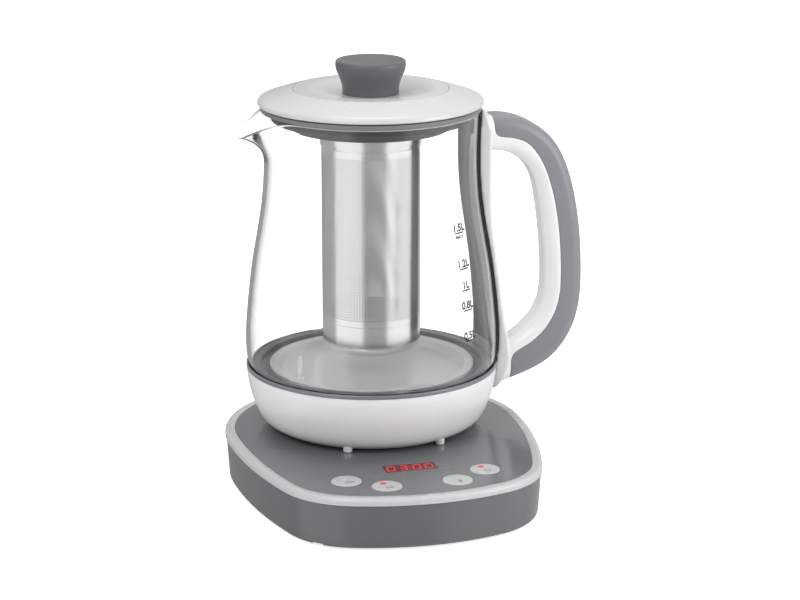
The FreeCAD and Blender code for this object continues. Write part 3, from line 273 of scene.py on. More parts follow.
def brushed(name, colour, roughness, stretch, strength=0.12, bump=0.3, metallic=1.0):
    tree, shader = new_look(name)
    values = {"Colour": (*colour, 1), "Stretch": stretch, "Roughness": roughness, "Strength": strength}
    use_group(tree, shader, HOLD["brushed"], values, bump)
    shader.inputs["Metallic"].default_value = metallic


def clear_glass():
    """Clear wall whose colour darkens towards its edges: painted shade for the dark edges of thick glass.
    """
    tree, shader = new_look("clear_glass")
    # Painted shade: the base colour darkens as the wall turns away from view
    slant = add(tree, "LayerWeight", Blend=0.5).outputs["Facing"]
    tone = add_ramp(tree, slant, ((0.66, (0.99, 0.994, 0.992)), (0.86, (0.72, 0.73, 0.73)),
                                  (1.0, (0.25, 0.26, 0.265))))
    plug(tree, tone, shader.inputs["Base Color"])
    shader.inputs["Roughness"].default_value = 0.0
    shader.inputs["IOR"].default_value = GLASS_IOR
    shader.inputs["Transmission Weight"].default_value = 1.0


def glass_rim_painted_highlight():
    """Painted highlight: the fire-rounded rim is given a pale, partly opaque colour where it catches the
    light.
    """
    tree, shader = new_look("glass_rim_painted_highlight")
    values = {"Colour": (0.96, 0.97, 0.97, 1), "Drift": 0.02, "Roughness": 0.12, "Grain Scale": 1200.0}
    use_group(tree, shader, HOLD["moulded"], values, 0.05)
    shader.inputs["IOR"].default_value = GLASS_IOR
    shader.inputs["Transmission Weight"].default_value = 0.35


def glowing(name, colour, strength):
    tree, shader = new_look(name)
    shader.inputs["Base Color"].default_value = (colour[0] * 0.4, colour[1], colour[2], 1)
    shader.inputs["Roughness"].default_value = 0.35
    place = add(tree, "TexCoord").outputs["Object"]
    spots = add(tree, "TexNoise", Vector=place, Scale=900.0).outputs["Fac"]
    tone = add_ramp(tree, spots, ((0.0, (colour[0] * 0.8, colour[1], colour[2])), (1.0, tuple(colour))))
    plug(tree, tone, shader.inputs["Emission Color"])
    shader.inputs["Emission Strength"].default_value = strength


def make_materials(colours):
    HOLD["moulded"] = moulded_group()
    HOLD["brushed"] = brushed_group()
    # Lit copy of the white plastic: painted light, lighter than the lid and rim copies
    moulded("white_plastic", colours.white, 0.24, coat=0.35, drift=0.02, bump=0.08)
    # Shaded copy of the white plastic for the lid: painted shade
    moulded("lid_white_painted_shade", colours.lid_white_painted_shade, 0.26, coat=0.3, drift=0.02, bump=0.08)
    # Shaded copy of the white plastic for the rim and buttons: painted shade
    moulded("rim_white_painted_shade", colours.rim_white_painted_shade, 0.26, coat=0.3, drift=0.02, bump=0.08)
    moulded("grip_grey", colours.grey, 0.4, coat=0.1, drift=0.05, bump=0.25)
    moulded("knob_grey", colours.knob, 0.42, drift=0.05, bump=0.25, specular=0.35)
    moulded("plug_grey", colours.plug, 0.36, coat=0.1, drift=0.05, bump=0.2)
    # Darker copy of the plug grey: painted shade through the glass and under the cover's edge
    moulded("plug_painted_shade", (0.094, 0.096, 0.104), 0.4, drift=0.05, bump=0.2)
    moulded("seal_grey", (0.150, 0.152, 0.166), 0.36, coat=0.2, drift=0.06)
    moulded("base_grey", colours.base, 0.34, coat=0.25, drift=0.04, bump=0.2)
    moulded("panel_grey", colours.panel, 0.2, coat=0.5, drift=0.04, bump=0.06)
    moulded("collar_grey", colours.collar, 0.3, coat=0.3, drift=0.04)
    moulded("liner_grey", colours.liner, 0.42, drift=0.08)
    moulded("display_dark", (0.085, 0.004, 0.010), 0.12, coat=0.15, bump=0.0, specular=0.3)
    moulded("component_black", (0.02, 0.02, 0.022), 0.45, bump=0.3)
    moulded("board_green", (0.02, 0.13, 0.055), 0.35, coat=0.4, drift=0.15)
    moulded("soft_rubber", (0.055, 0.056, 0.060), 0.55, drift=0.08, bump=0.5)
    brushed("contact_brass", (0.72, 0.53, 0.22), 0.22, (300.0, 300.0, 300.0))
    brushed("bright_steel", colours.steel, 0.2, (60.0, 60.0, 2500.0), 0.14)
    brushed("plate_steel", (0.95, 0.945, 0.94), 0.28, (500.0, 500.0, 500.0), 0.06, bump=0.12,
            metallic=0.15)
    brushed("cast_aluminium", (0.58, 0.58, 0.59), 0.42, (400.0, 400.0, 400.0), 0.25, bump=0.8)
    clear_glass()
    glass_rim_painted_highlight()
    glowing("glow_red", colours.glow, 0.85)
    moulded("print_ink", colours.print_ink, 0.6, bump=0.0, specular=0.1)
    moulded("light_off", (0.52, 0.52, 0.53), 0.3, bump=0.0)


def dress_nodes():
    """Every CAD node gets the finish of its slot; the dressed pieces replace some of them."""
    for part in frame["record"]["subparts"]:
        node = frame["nodes"][part["node"]]
        node.data.materials.clear()
        node.data.materials.append(HOLD["looks"][part["material_slot"]])


# Mesh helpers

def finish_piece(name, bm, material, body, replaces=(), smooth_angle=40):
    mesh = bpy.data.meshes.new(name)
    bm.to_mesh(mesh)
    bm.free()
    piece = bpy.data.objects.new(name, mesh)
    bpy.context.scene.collection.objects.link(piece)
    mesh.materials.append(HOLD["looks"][material])
    mesh.shade_smooth()
    mesh.set_sharp_from_angle(angle=math.radians(smooth_angle))
    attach(piece, body)
    if replaces:
        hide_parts(*replaces)
    return piece


def apply_modifiers(piece):
    with bpy.context.temp_override(object=piece, active_object=piece, selected_objects=[piece]):
        for modifier in list(piece.modifiers):
            bpy.ops.object.modifier_apply(modifier=modifier.name)


def smooth_run(points, steps=6):
    """A smooth line through the points, by Catmull-Rom weights, ends held."""
    ends = [points[0]] + list(points) + [points[-1]]
    line = []
    for before, a, b, after in zip(ends, ends[1:], ends[2:], ends[3:]):
        for step in range(steps):
            t = step / steps
            line.append(tuple(
                0.5 * (2 * q + (r - p) * t + (2 * p - 5 * q + 4 * r - s) * t * t
                       + (3 * q - p - 3 * r + s) * t ** 3)
                for p, q, r, s in zip(before, a, b, after)))
    line.append(tuple(points[-1]))
    return line


def in_metres(points):
    return [(radius * MM, height * MM) for radius, height in points]


def round_corner(before, corner, after, radius, steps=5):
    """A small rounding in place of a corner of a profile."""
    first = Vector(before) - Vector(corner)
    second = Vector(after) - Vector(corner)
    start = Vector(corner) + first.normalized() * min(radius, first.length * 0.45)
    end = Vector(corner) + second.normalized() * min(radius, second.length * 0.45)
    line = []
    for step in range(steps + 1):
        t = step / steps
        spot = start * (1 - t) ** 2 + Vector(corner) * (2 * t * (1 - t)) + end * t * t
        line.append((spot.x, spot.y))
    return line


def softened(points, radius):
    """A closed profile with each corner rounded; radius is one number or one for each point."""
    line = []
    for index, corner in enumerate(points):
        size = radius[index] if isinstance(radius, (list, tuple)) else radius
        if size <= 0:
            line.append(corner)
            continue
        line += round_corner(points[index - 1], corner, points[(index + 1) % len(points)], size)
    return line


def lathe(profile, segments=160):
    """Spins a closed profile of (radius, height) about the Z axis."""
    bm = bmesh.new()
    verts = [bm.verts.new((radius, 0, height)) for radius, height in profile]
    edges = [bm.edges.new(pair) for pair in zip(verts, verts[1:] + verts[:1])]
    bmesh.ops.spin(bm, geom=verts + edges, cent=(0, 0, 0), axis=(0, 0, 1), angle=math.tau,
                   steps=segments, use_merge=True, use_duplicate=False)
    bmesh.ops.remove_doubles(bm, verts=bm.verts, dist=1e-6)
    bmesh.ops.dissolve_degenerate(bm, edges=bm.edges, dist=1e-7)
    bmesh.ops.recalc_face_normals(bm, faces=bm.faces)
    return bm


def copy_of(node):
    """A merged copy of a CAD node's mesh."""
    bm = bmesh.new()
    bm.from_mesh(frame["nodes"][node].data)
    bmesh.ops.remove_doubles(bm, verts=bm.verts, dist=1e-6)
    return bm


def bar(bm, centre, size, turn=0.0):
    """A small flat bar lying in plan."""
    made = bmesh.ops.create_cube(bm, size=1.0)["verts"]
    bmesh.ops.scale(bm, verts=made, vec=size)
    bmesh.ops.rotate(bm, verts=made, cent=(0, 0, 0), matrix=Matrix.Rotation(turn, 3, "Z"))
    bmesh.ops.translate(bm, verts=made, vec=centre)


# Base

class TEA_OT_base(bpy.types.Operator):
    """Dress the base: side shell, white rim and top panel with softened edges"""
    bl_idname = "tea.base"
    bl_label = "Base"

    def execute(self, context):
        for node, width in (("base_shell", 0.35), ("base_rim", 0.25), ("base_top_panel", 0.2)):
            slot = next(p["material_slot"] for p in frame["record"]["subparts"] if p["node"] == node)
            # The white rim takes the darker copy of the white plastic: painted shade
            look = "rim_white_painted_shade" if slot == "white_plastic" else slot
            piece = finish_piece(node + "_finish", copy_of(node), look, "base", [node], 35)
            bevel = piece.modifiers.new("soft_edges", "BEVEL")
            bevel.width = width * MM
            bevel.segments = 2
            bevel.limit_method = "ANGLE"
            bevel.angle_limit = math.radians(50)
            bevel.harden_normals = True
        return {"FINISHED"}


class TEA_OT_display(bpy.types.Operator):
    """Make the lit figures behind the display window"""
    bl_idname = "tea.display"
    bl_label = "Display"

    def execute(self, context):
        sizes = context.scene.tea_base
        low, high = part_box("display_window")
        centre_y = 0.5 * (low[1] + high[1])
        top = high[2] + 0.03 * MM
        thick, deep = 0.95 * MM, 0.05 * MM
        width, height = sizes.digit_width, sizes.digit_height
        segments = {
            "a": (0, 0.5, False), "b": (0.5, 0.25, True), "c": (0.5, -0.25, True),
            "d": (0, -0.5, False), "e": (-0.5, -0.25, True), "f": (-0.5, 0.25, True), "g": (0, 0, False),
        }
        shown = {"0": "abcdef", "3": "abcdg"}
        bm = bmesh.new()
        for index, figure in enumerate("0300"):
            x = (index - 1.5) * width * 1.75 + (0.4 * MM if index > 1 else -0.4 * MM)
            for key in shown[figure]:
                along, up, upright = segments[key]
                size = (thick, height * 0.42, deep) if upright else (width * 0.82, thick, deep)
                slant = up * height * 0.12
                bar(bm, (x + along * width + slant, centre_y + up * height, top), size,
                    -0.12 if upright else 0.0)
        for up in (-0.2, 0.2):
            dot = bmesh.ops.create_circle(bm, cap_ends=True, segments=12, radius=0.5 * MM)["verts"]
            bmesh.ops.translate(bm, verts=dot, vec=(0, centre_y + up * height, top))
        finish_piece("display_figures", bm, "glow_red", "base")
        return {"FINISHED"}


class TEA_OT_buttons(bpy.types.Operator):
    """Dress the four buttons with their light dots and pictograms"""
    bl_idname = "tea.buttons"
    bl_label = "Buttons"

    def execute(self, context):
        dot_radius = context.scene.tea_base.dot_radius
        names = ("left_outer", "left_inner", "right_inner", "right_outer")
        for index, name in enumerate(names):
            node = "button_" + name
            low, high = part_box(node)
            x, y = 0.5 * (low[0] + high[0]), 0.5 * (low[1] + high[1])
            top = high[2]
            lit = index in (1, 3)
            # Button caps take the darker copy of the white plastic: painted shade
            finish_piece(node + "_cap", copy_of(node), "rim_white_painted_shade", node, [node], 30)
            bm = bmesh.new()
            bmesh.ops.create_cone(bm, cap_ends=True, segments=32, radius1=dot_radius,
                                  radius2=dot_radius * 0.85, depth=0.16 * MM)
            bmesh.ops.translate(bm, verts=bm.verts, vec=(x - 1.2 * MM, y + 4.2 * MM, top + 0.03 * MM))
            finish_piece(node + "_light", bm, "glow_red" if lit else "light_off", node)
            bm = bmesh.new()
            PICTOGRAMS[index](bm, x + 0.8 * MM, y - 2.3 * MM, top + 0.02 * MM)
            finish_piece(node + "_sign", bm, "print_ink", node)
        return {"FINISHED"}


def arc_bars(bm, x, y, z, radius, start, end, count, thick):
    """A thin arc drawn with short bars."""
    for step in range(count):
        angle = start + (end - start) * (step + 0.5) / count
        run = radius * abs(end - start) / count * 1.15
        spot = (x + radius * math.cos(angle), y + radius * math.sin(angle), z)
        bar(bm, spot, (thick, run, SIGN_THICK), angle)


# Signs of the buttons, drawn round a point with sizes in mm

def sign_cup(bm, x, y, z):
    arc_bars(bm, x, y, z, 2.1 * MM, math.pi, math.tau, 9, 0.35 * MM)
    bar(bm, (x, y, z), (4.5 * MM, 0.35 * MM, SIGN_THICK))
    arc_bars(bm, x + 2.5 * MM, y - 0.6 * MM, z, 0.8 * MM, -1.6, 1.6, 5, 0.3 * MM)
    for shift in (-0.9, 0.5):
        arc_bars(bm, x + shift * MM, y + 1.3 * MM, z, 0.7 * MM, -0.9, 0.9, 3, 0.28 * MM)


def sign_heat(bm, x, y, z):
    bar(bm, (x, y - 1.9 * MM, z), (5.0 * MM, 0.35 * MM, SIGN_THICK))
    for shift in (-1.6, 0.0, 1.6):
        arc_bars(bm, x + shift * MM - 0.5 * MM, y - 0.5 * MM, z, 0.9 * MM, -0.9, 0.9, 3, 0.3 * MM)
        arc_bars(bm, x + shift * MM + 0.7 * MM, y + 1.1 * MM, z, 0.9 * MM, 2.2, 4.0, 3, 0.3 * MM)


def sign_leaf(bm, x, y, z):
    arc_bars(bm, x - 1.0 * MM, y, z, 1.9 * MM, -1.0, 1.0, 6, 0.35 * MM)
    arc_bars(bm, x + 1.0 * MM, y, z, 1.9 * MM, 2.15, 4.15, 6, 0.35 * MM)
    bar(bm, (x, y - 0.5 * MM, z), (0.3 * MM, 4.0 * MM, SIGN_THICK))


def sign_power(bm, x, y, z):
    arc_bars(bm, x, y, z, 1.9 * MM, -4.2, 1.05, 12, 0.38 * MM)
    bar(bm, (x, y + 1.6 * MM, z), (0.38 * MM, 2.2 * MM, SIGN_THICK))


PICTOGRAMS = (sign_cup, sign_heat, sign_leaf, sign_power)


# Jug

def glass_outside():
    """Radius and height of the glass, from its foot to its rim."""
    stations = [(75.3, 72.6), (76.4, 78), (76.8, 86), (76.4, 98), (74.6, 116.8), (72.2, 135.5),
                (68.9, 154.2), (66.0, 172.7), (64.6, 190), (64.4, 208), (65.2, GLASS_TOP / MM)]
    foot = [(74.0, GLASS_LOW / MM), (74.6, 70.6)]
    return in_metres(foot + smooth_run(stations, 8))


def glass_radius(height):
    line = glass_outside()
    for (low_r, low_z), (high_r, high_z) in zip(line, line[1:]):
        if height <= high_z:
            share = (height - low_z) / max(high_z - low_z, 1e-9)
            return low_r + share * (high_r - low_r)
    return line[-1][0]


def pull_spout(bm, sizes):
    """Pulls the lip towards -X: hollow flanks from the neck to a narrow tip that dips below the rim."""
    pull = sizes.spout_reach - glass_radius(GLASS_TOP)
    for vert in bm.verts:
        angle = abs(math.atan2(vert.co.y, -vert.co.x))
        if angle > sizes.spout_angle or vert.co.z < sizes.spout_root:
            continue
        rise = (vert.co.z - sizes.spout_root) / (GLASS_TOP - sizes.spout_root)
        blunt = sizes.spout_blunt
        far = math.hypot(angle, blunt) - blunt * angle / sizes.spout_angle
        near = max(0.0, (sizes.spout_angle - far) / (sizes.spout_angle - blunt))
        out = Vector((vert.co.x, vert.co.y, 0)).normalized()
        vert.co += out * pull * near ** 2.1 * rise ** 1.8
        vert.co.z -= sizes.spout_drop * near ** 2.7 * rise ** 2


class TEA_OT_glass(bpy.types.Operator):
    """Make the glass jug: a turned wall with a pulled spout and a fire-rounded rim"""
    bl_idname = "tea.glass"
    bl_label = "Glass jug"

    def execute(self, context):
        sizes = context.scene.tea_jug
        outside = glass_outside()
        wall = sizes.wall
        inside = [(r - wall, z) for r, z in reversed(outside)]
        rim = [(outside[-1][0] - wall * 0.5 + wall * 0.5 * math.cos(a), GLASS_TOP - wall * 0.35 +
                wall * 0.35 * math.sin(a)) for a in (0.35, 0.8, 1.57, 2.34, 2.79)]
        outside[-1] = (outside[-1][0], GLASS_TOP - wall * 0.35)
        inside[0] = (inside[0][0], GLASS_TOP - wall * 0.35)
        bm = lathe(outside + rim + inside, segments=240)
        # Faces at the top of the rim get the painted rim highlight
        rim_highlight_low = GLASS_TOP - 1.1 * MM
        for face in bm.faces:
            face.material_index = 1 if face.calc_center_median().z > rim_highlight_low else 0
        pull_spout(bm, sizes)
        bmesh.ops.recalc_face_normals(bm, faces=bm.faces)
        piece = finish_piece("jug_glass", bm, "clear_glass", "jug", ["glass_jug"], 60)
        # Second slot: the pale colour of the painted rim highlight
        piece.data.materials.append(HOLD["looks"]["glass_rim_painted_highlight"])
        return {"FINISHED"}


class TEA_OT_marks(bpy.types.Operator):
    """Print the level marks on the outside of the glass"""
    bl_idname = "tea.marks"
    bl_label = "Level marks"

    def execute(self, context):
        sizes = context.scene.tea_jug
        fullest = 162.2
        marks = (("1.5L", fullest), ("1.2L", 141.0), ("1L", 128.3), ("0.8L", 116.4), ("0.5L", 98.1))
        bm = bmesh.new()
        for words, height in marks:
            self.words(bm, sizes, words, height * MM + 1.1 * MM, sizes.mark_height)
            self.tick(bm, sizes, height * MM)
        self.words(bm, sizes, "MAX", (fullest - 3.4) * MM, sizes.mark_height * 0.5)
        finish_piece("level_marks", bm, "print_ink", "jug")
        return {"FINISHED"}

    def words(self, bm, sizes, text, height, size):
        """Figures as a mesh, split fine enough to bend round the glass."""
        curve = bpy.data.curves.new("figures", "FONT")
        curve.body = text
        curve.size = size * 1.35
        curve.align_x = "CENTER"
        curve.offset = size * 0.05
        holder = bpy.data.objects.new("figures", curve)
        bpy.context.scene.collection.objects.link(holder)
        bpy.context.view_layer.update()
        shaped = holder.evaluated_get(bpy.context.evaluated_depsgraph_get())
        mesh = bpy.data.meshes.new_from_object(shaped)
        flat = bmesh.new()
        flat.from_mesh(mesh)
        bmesh.ops.subdivide_edges(flat, edges=flat.edges, cuts=2)
        self.wrap(flat, sizes, height)
        flat.to_mesh(mesh)
        bm.from_mesh(mesh)
        flat.free()
        bpy.data.objects.remove(holder)
        bpy.data.meshes.remove(mesh)
        bpy.data.curves.remove(curve)

    def tick(self, bm, sizes, height):
        flat = bmesh.new()
        bmesh.ops.create_grid(flat, x_segments=8, y_segments=1, size=0.5)
        bmesh.ops.scale(flat, verts=flat.verts, vec=(7.8 * MM, 0.85 * MM, 1))
        self.wrap(flat, sizes, height)
        mesh = bpy.data.meshes.new("tick")
        flat.to_mesh(mesh)
        bm.from_mesh(mesh)
        flat.free()
        bpy.data.meshes.remove(mesh)

    def wrap(self, flat, sizes, height):
        for vert in flat.verts:
            up = height + vert.co.y
            radius = glass_radius(up) + 0.12 * MM
            angle = sizes.mark_angle + vert.co.x / radius
            vert.co = (radius * math.sin(angle), -radius * math.cos(angle), up)


class TEA_OT_jug_floor(bpy.types.Operator):
    """Make the collar, the seal's shelf and the heating plate"""
    bl_idname = "tea.jug_floor"
    bl_label = "Jug floor"

    def execute(self, context):
        outer, top, low = radius_of("collar_ring") / MM, COLLAR_TOP / MM, bottom_of("collar_ring") / MM
        inner, seam, ledge = outer - 2.1, COLLAR_LOW / MM, low + 2.4
        collar = in_metres([(outer - 1.05, top), (outer - 0.4, top), (outer, top - 0.5), (outer, seam),
                            (inner, seam), (inner, low), (inner - 8, low), (inner - 8, ledge),
                            (inner - 0.5, ledge), (inner - 0.2, seam - 0.4)])
        finish_piece("collar_finish", lathe(softened(collar, 0.25 * MM)), "collar_grey", "jug",
                     ["collar_ring"])
        shelf, floor = top_of("glass_seal") / MM, bottom_of("glass_seal") / MM
        edge, under, groove = 71.8, GLASS_LOW / MM - 0.1, floor + 2.0
        seal = in_metres([(62.95, floor), (73.9, floor), (73.9, under), (edge - 0.2, under),
                          (edge - 0.1, under + 1.1), (edge + 0.9, shelf), (68.3, shelf),
                          (68.0, shelf - 0.6), (68.0, groove), (65.6, groove), (65.3, groove - 0.5),
                          (64.9, groove - 0.5), (64.6, groove), (62.95, groove)])
        finish_piece("seal_finish", lathe(softened(seal, 0.2 * MM)), "seal_grey", "jug",
                     ["glass_seal"])
        top, low = top_of("heating_plate") / MM, bottom_of("heating_plate") / MM
        sheet = 0.8
        floor, brim = low + sheet, low + sheet + 1.1
        plate = in_metres([(68.5, brim), (62.7, brim), (62.7, top), (57.1, top), (55.5, floor + 0.4),
                           (54.5, floor), (0.0, floor), (0.0, low), (54.8, low), (56.2, floor + 0.3),
                           (57.7, top - sheet), (61.9, top - sheet), (61.9, brim - sheet),
                           (68.5, brim - sheet)])
        round_by = [0, 0.3, 0.8, 0.9, 0.8, 0.6, 0, 0, 0.5, 0.5, 0.5, 0.3, 0.3, 0]
        profile = softened(plate, [size * MM for size in round_by])
        finish_piece("plate_finish", lathe(profile, segments=192), "plate_steel", "jug",
                     ["heating_plate"])
        finish_piece("probe_finish", copy_of("temperature_probe"), "plate_steel", "jug",
                     ["temperature_probe"], 35)
        return {"FINISHED"}


class TEA_OT_housing(bpy.types.Operator):
    """Make the white bowl under the glass with its feet"""
    bl_idname = "tea.housing"
    bl_label = "Bowl housing"

    def execute(self, context):
        edge, top, low = radius_of("jug_housing") / MM, COLLAR_LOW / MM, bottom_of("jug_bottom_cover") / MM
        high, cover, wall = top - low, 50.0, 1.6
        outside = smooth_run([(edge, top), (edge - 0.2, low + 0.85 * high),
                              (edge - 2.2, low + 0.565 * high), (edge - 6.2, low + 0.26 * high),
                              (edge - 10.2, low + 0.1 * high), (edge - 16.4, low)], 8)
        inside = [(r - wall * 0.95, z + wall * 0.6 * (top - z) / high) for r, z in reversed(outside)]
        profile = in_metres([(edge - 0.25, top), (edge, top - 0.3)] + outside[1:] +
                            [(cover, low), (cover, low + wall)] + inside)
        finish_piece("housing_bowl", lathe(profile), "white_plastic", "jug",
                     ["jug_housing"], 50)
        bm = bmesh.new()
        foot_low = bottom_of("jug_housing")
        circle, tall = 62 * MM, 5.0 * MM
        for angle in (-27.3, 27.3, 152.7, 207.3):
            turn = math.radians(angle)
            spot = (circle * math.sin(turn), -circle * math.cos(turn), foot_low + 0.5 * tall)
            made = bmesh.ops.create_cone(bm, cap_ends=True, segments=28, radius1=2.7 * MM,
                                         radius2=2.9 * MM, depth=tall)["verts"]
            bmesh.ops.translate(bm, verts=made, vec=spot)
        rims = [rim for rim in bm.edges if all(vert.co.z < foot_low + 0.1 * MM for vert in rim.verts)]
        bmesh.ops.bevel(bm, geom=rims, offset=0.5 * MM, segments=3, profile=0.5, affect="EDGES",
                        material=-1)
        finish_piece("housing_feet", bm, "white_plastic", "jug", smooth_angle=35)
        return {"FINISHED"}


# Where the white handle meets its grey grip, seen from the front: x and height in mm
GRIP_EDGE = ((72.8, 232), (73.5, 224), (74.3, 213.3), (76.3, 209.9), (80.3, 208.8), (86.1, 208),
             (94.7, 204.6), (102, 196.5), (107.2, 186.4), (111, 174.8), (114.2, 160.5), (116.4, 143.2),
             (117.4, 125.9), (117.2, 111.5), (114.5, 98.6), (108.1, 87.4), (99.4, 79.3), (91.4, 74.8),
             (87.8, 72.1), (86.3, 68.6), (86, 63.5), (85.6, 45))


def side_of_line(x, z, line):
    """Signed distance from a line in the XZ plane, positive towards the grip."""
    best = None
    for (ax, az), (bx, bz) in zip(line, line[1:]):
        run_x, run_z = bx - ax, bz - az
        share = ((x - ax) * run_x + (z - az) * run_z) / (run_x * run_x + run_z * run_z)
        share = min(1.0, max(0.0, share))
        off_x, off_z = x - ax - share * run_x, z - az - share * run_z
        gap = off_x * off_x + off_z * off_z
        if best is None or gap < best[0]:
            best = (gap, run_x * off_z - run_z * off_x)
    return math.copysign(math.sqrt(best[0]), best[1])


class TEA_OT_handle(bpy.types.Operator):
    """Part the smooth handle into its white body and its grey grip, with a fine groove between them"""
    bl_idname = "tea.handle"
    bl_label = "Handle"

    def execute(self, context):
        bm = self.smooth_loop()
        line = smooth_run(in_metres(GRIP_EDGE), 3)
        side = {vert: side_of_line(vert.co.x, vert.co.z, line) for vert in bm.verts}
        seam = []
        for edge in list(bm.edges):
            first, second = edge.verts
            if side[first] * side[second] < 0:
                share = side[first] / (side[first] - side[second])
                made = bmesh.utils.edge_split(edge, first, share)[1]
                side[made] = 0.0
                seam.append(made)
        bmesh.ops.connect_verts(bm, verts=seam)
        bm.normal_update()
        depth = 0.3 * MM
        moves = [(vert, vert.normal.copy()) for vert in seam]
        for vert, normal in moves:
            vert.co -= normal * depth
        order = [sum(side[vert] for vert in face.verts) > 0 for face in bm.faces]
        for name, slot, keep, node in (("handle_white", "white_plastic", False, "handle_shell"),
                                       ("handle_soft_grip", "grip_grey", True, "handle_grip")):
            part = bm.copy()
            part.faces.ensure_lookup_table()
            spare = [face for face, is_grey in zip(part.faces, order) if is_grey != keep]
            bmesh.ops.delete(part, geom=spare, context="FACES")
            finish_piece(name, part, slot, "jug", [node], 180)
        bm.free()
        bm = copy_of("spine_liner")
        for vert in bm.verts:
            angle = math.atan2(vert.co.y, vert.co.x) * LINER_SHARE
            radius = math.hypot(vert.co.x, vert.co.y)
            vert.co.x, vert.co.y = radius * math.cos(angle), radius * math.sin(angle)
        finish_piece("liner_finish", bm, "liner_grey", "jug", ["spine_liner"], 30)
        return {"FINISHED"}

    def smooth_loop(self):
        """Handle, grip and spine fused and evened out, with softened edges."""
        mesh = bpy.data.meshes.new("handle_loop")
        both = copy_of("handle_shell")
        grip = copy_of("handle_grip")
        spare = bpy.data.meshes.new("grip_copy")
        grip.to_mesh(spare)
        grip.free()
        both.from_mesh(spare)
        both.to_mesh(mesh)
        both.free()
        holder = bpy.data.objects.new("handle_loop", mesh)
        bpy.context.scene.collection.objects.link(holder)
        remesh = holder.modifiers.new("even", "REMESH")
        remesh.mode = "VOXEL"
        remesh.voxel_size = 0.85 * MM
        ease = holder.modifiers.new("ease", "SMOOTH")
        ease.factor = 0.5
        ease.iterations = 6
        apply_modifiers(holder)
        bm = bmesh.new()
        bm.from_mesh(holder.data)
        bpy.data.objects.remove(holder)
        bpy.data.meshes.remove(spare)
        return bm


# Lid and infuser

class TEA_OT_lid(bpy.types.Operator):
    """Make the lid: white cover, grey plug and knob"""
    bl_idname = "tea.lid"
    bl_label = "Lid"

    def execute(self, context):
        sizes = context.scene.tea_lid
        low, dish = LID_EDGE / MM, bottom_of("lid_knob") / MM
        edge = radius_of("lid_cover") / MM + 0.9
        groove, groove_z = sizes.groove_radius / MM, low + 9.2
        foot = 17.1
        outside = [(edge - 0.5, low), (edge - 0.1, low + 0.35), (edge, low + 0.9), (edge - 0.35, low + 2.2),
                   (edge - 1.1, low + 3.1)]
        outside += smooth_run([(edge - 2.4, low + sizes.crest_drop / MM), (58.5, low + 6.0),
                               (51.5, low + 8.0), (groove + 0.5, groove_z)], 8)
        outside += [(groove + 0.3, groove_z - 0.1), (groove + 0.1, groove_z - 0.8),
                    (groove - 0.1, groove_z - 0.8), (groove - 0.3, groove_z - 0.1)]
        outside += smooth_run([(groove - 0.5, groove_z), (37, groove_z - 0.1), (29, groove_z - 1.5),
                               (22, dish + 0.3), (foot, dish)], 8)
        inside = [(4, dish), (4, dish - 2.2), (foot, dish - 2.2), (30, groove_z - 2.9),
                  (groove, groove_z - 2.3), (54, low + 5.0), (edge - 3, low + 1.5), (edge - 3, low)]
        # The cover takes the darker copy of the white plastic: painted shade against the top light
        finish_piece("lid_white_painted_shade", lathe(in_metres(outside + inside), segments=200), "lid_white_painted_shade", "lid",
                     ["lid_cover"], 45)
        self.plug()
        self.knob()
        finish_piece("lid_seal_finish", copy_of("lid_seal"), "soft_rubber", "lid",
                     ["lid_seal"], 30)
        return {"FINISHED"}

    def plug(self):
        """Flange, two steps and the socket; what shows through the glass and the band under the cover's
        edge take a darker copy of the grey as painted shade.
        """
        flange, low, top = radius_of("lid_plug") / MM, PLUG_LOW / MM, LID_EDGE / MM - 0.1
        step, skirt, socket = flange - 6.3, flange - 18.9, 31.1
        step_z, rim_z, boss_z = low + 5.4, GLASS_TOP / MM + 0.2, low + 5.6
        wall, boss, lip = 2, 4.2, 1.3
        profile = [(socket, low), (skirt, low), (skirt, step_z), (step, step_z), (step, rim_z),
                   (flange, rim_z), (flange, top - 0.9), (flange - lip, top - 0.8), (flange - lip, top),
                   (flange - 3, top), (flange - 3, rim_z + wall), (step - wall, rim_z + wall),
                   (step - wall, step_z + wall), (skirt - wall, step_z + wall), (skirt - wall, low + wall),
                   (socket + wall, low + wall), (socket + wall, boss_z + wall), (boss, boss_z + wall),
                   (boss, boss_z), (socket, boss_z)]
        rounding = [0.3, 0.5, 0.3, 0.6, 0.3, 0.5, 0.3] + [0] * 13
        bm = lathe(softened(in_metres(profile), [size * MM for size in rounding]), segments=192)
        piece = finish_piece("lid_plug_finish", bm, "plug_grey", "lid", ["lid_plug"], 30)
        piece.data.materials.append(HOLD["looks"]["plug_painted_shade"])
        # Painted shade: faces below the glass rim and in the band under the cover's edge take the darker
        # copy
        for face in piece.data.polygons:
            height = face.center.z / MM
            face.material_index = 1 if height < rim_z - 0.3 or height > top - 0.85 else 0

    def knob(self):
        low, high = bottom_of("lid_knob") / MM, top_of("lid_knob") / MM
        foot, top, rise = 17.0, radius_of("lid_knob") / MM + 1.4, high - low
        side = smooth_run([(foot, low + 0.2), (foot + 0.1, low + 0.22 * rise),
                           (foot + 1.5, low + 0.46 * rise), (top - 0.8, low + 0.66 * rise),
                           (top, low + 0.84 * rise)], 7)
        rim = [(top - 0.15, high - 1.0), (top - 0.6, high - 0.35), (top - 1.4, high),
               (top - 2.2, high - 0.25)]
        dish = smooth_run([(top - 3.0, high - 0.7), (0.6 * top, high - 2.2), (0.2 * top, high - 3.0),
                           (0.0, high - 3.0)], 6)
        bore, roof = 1.6, low + 9
        foot_line = [(bore, roof), (bore, low), (foot - 0.2, low)]
        profile = in_metres(foot_line + side + rim + dish + [(0.0, roof)])
        finish_piece("lid_knob_finish", lathe(profile, segments=128), "knob_grey", "lid",
                     ["lid_knob"], 45)


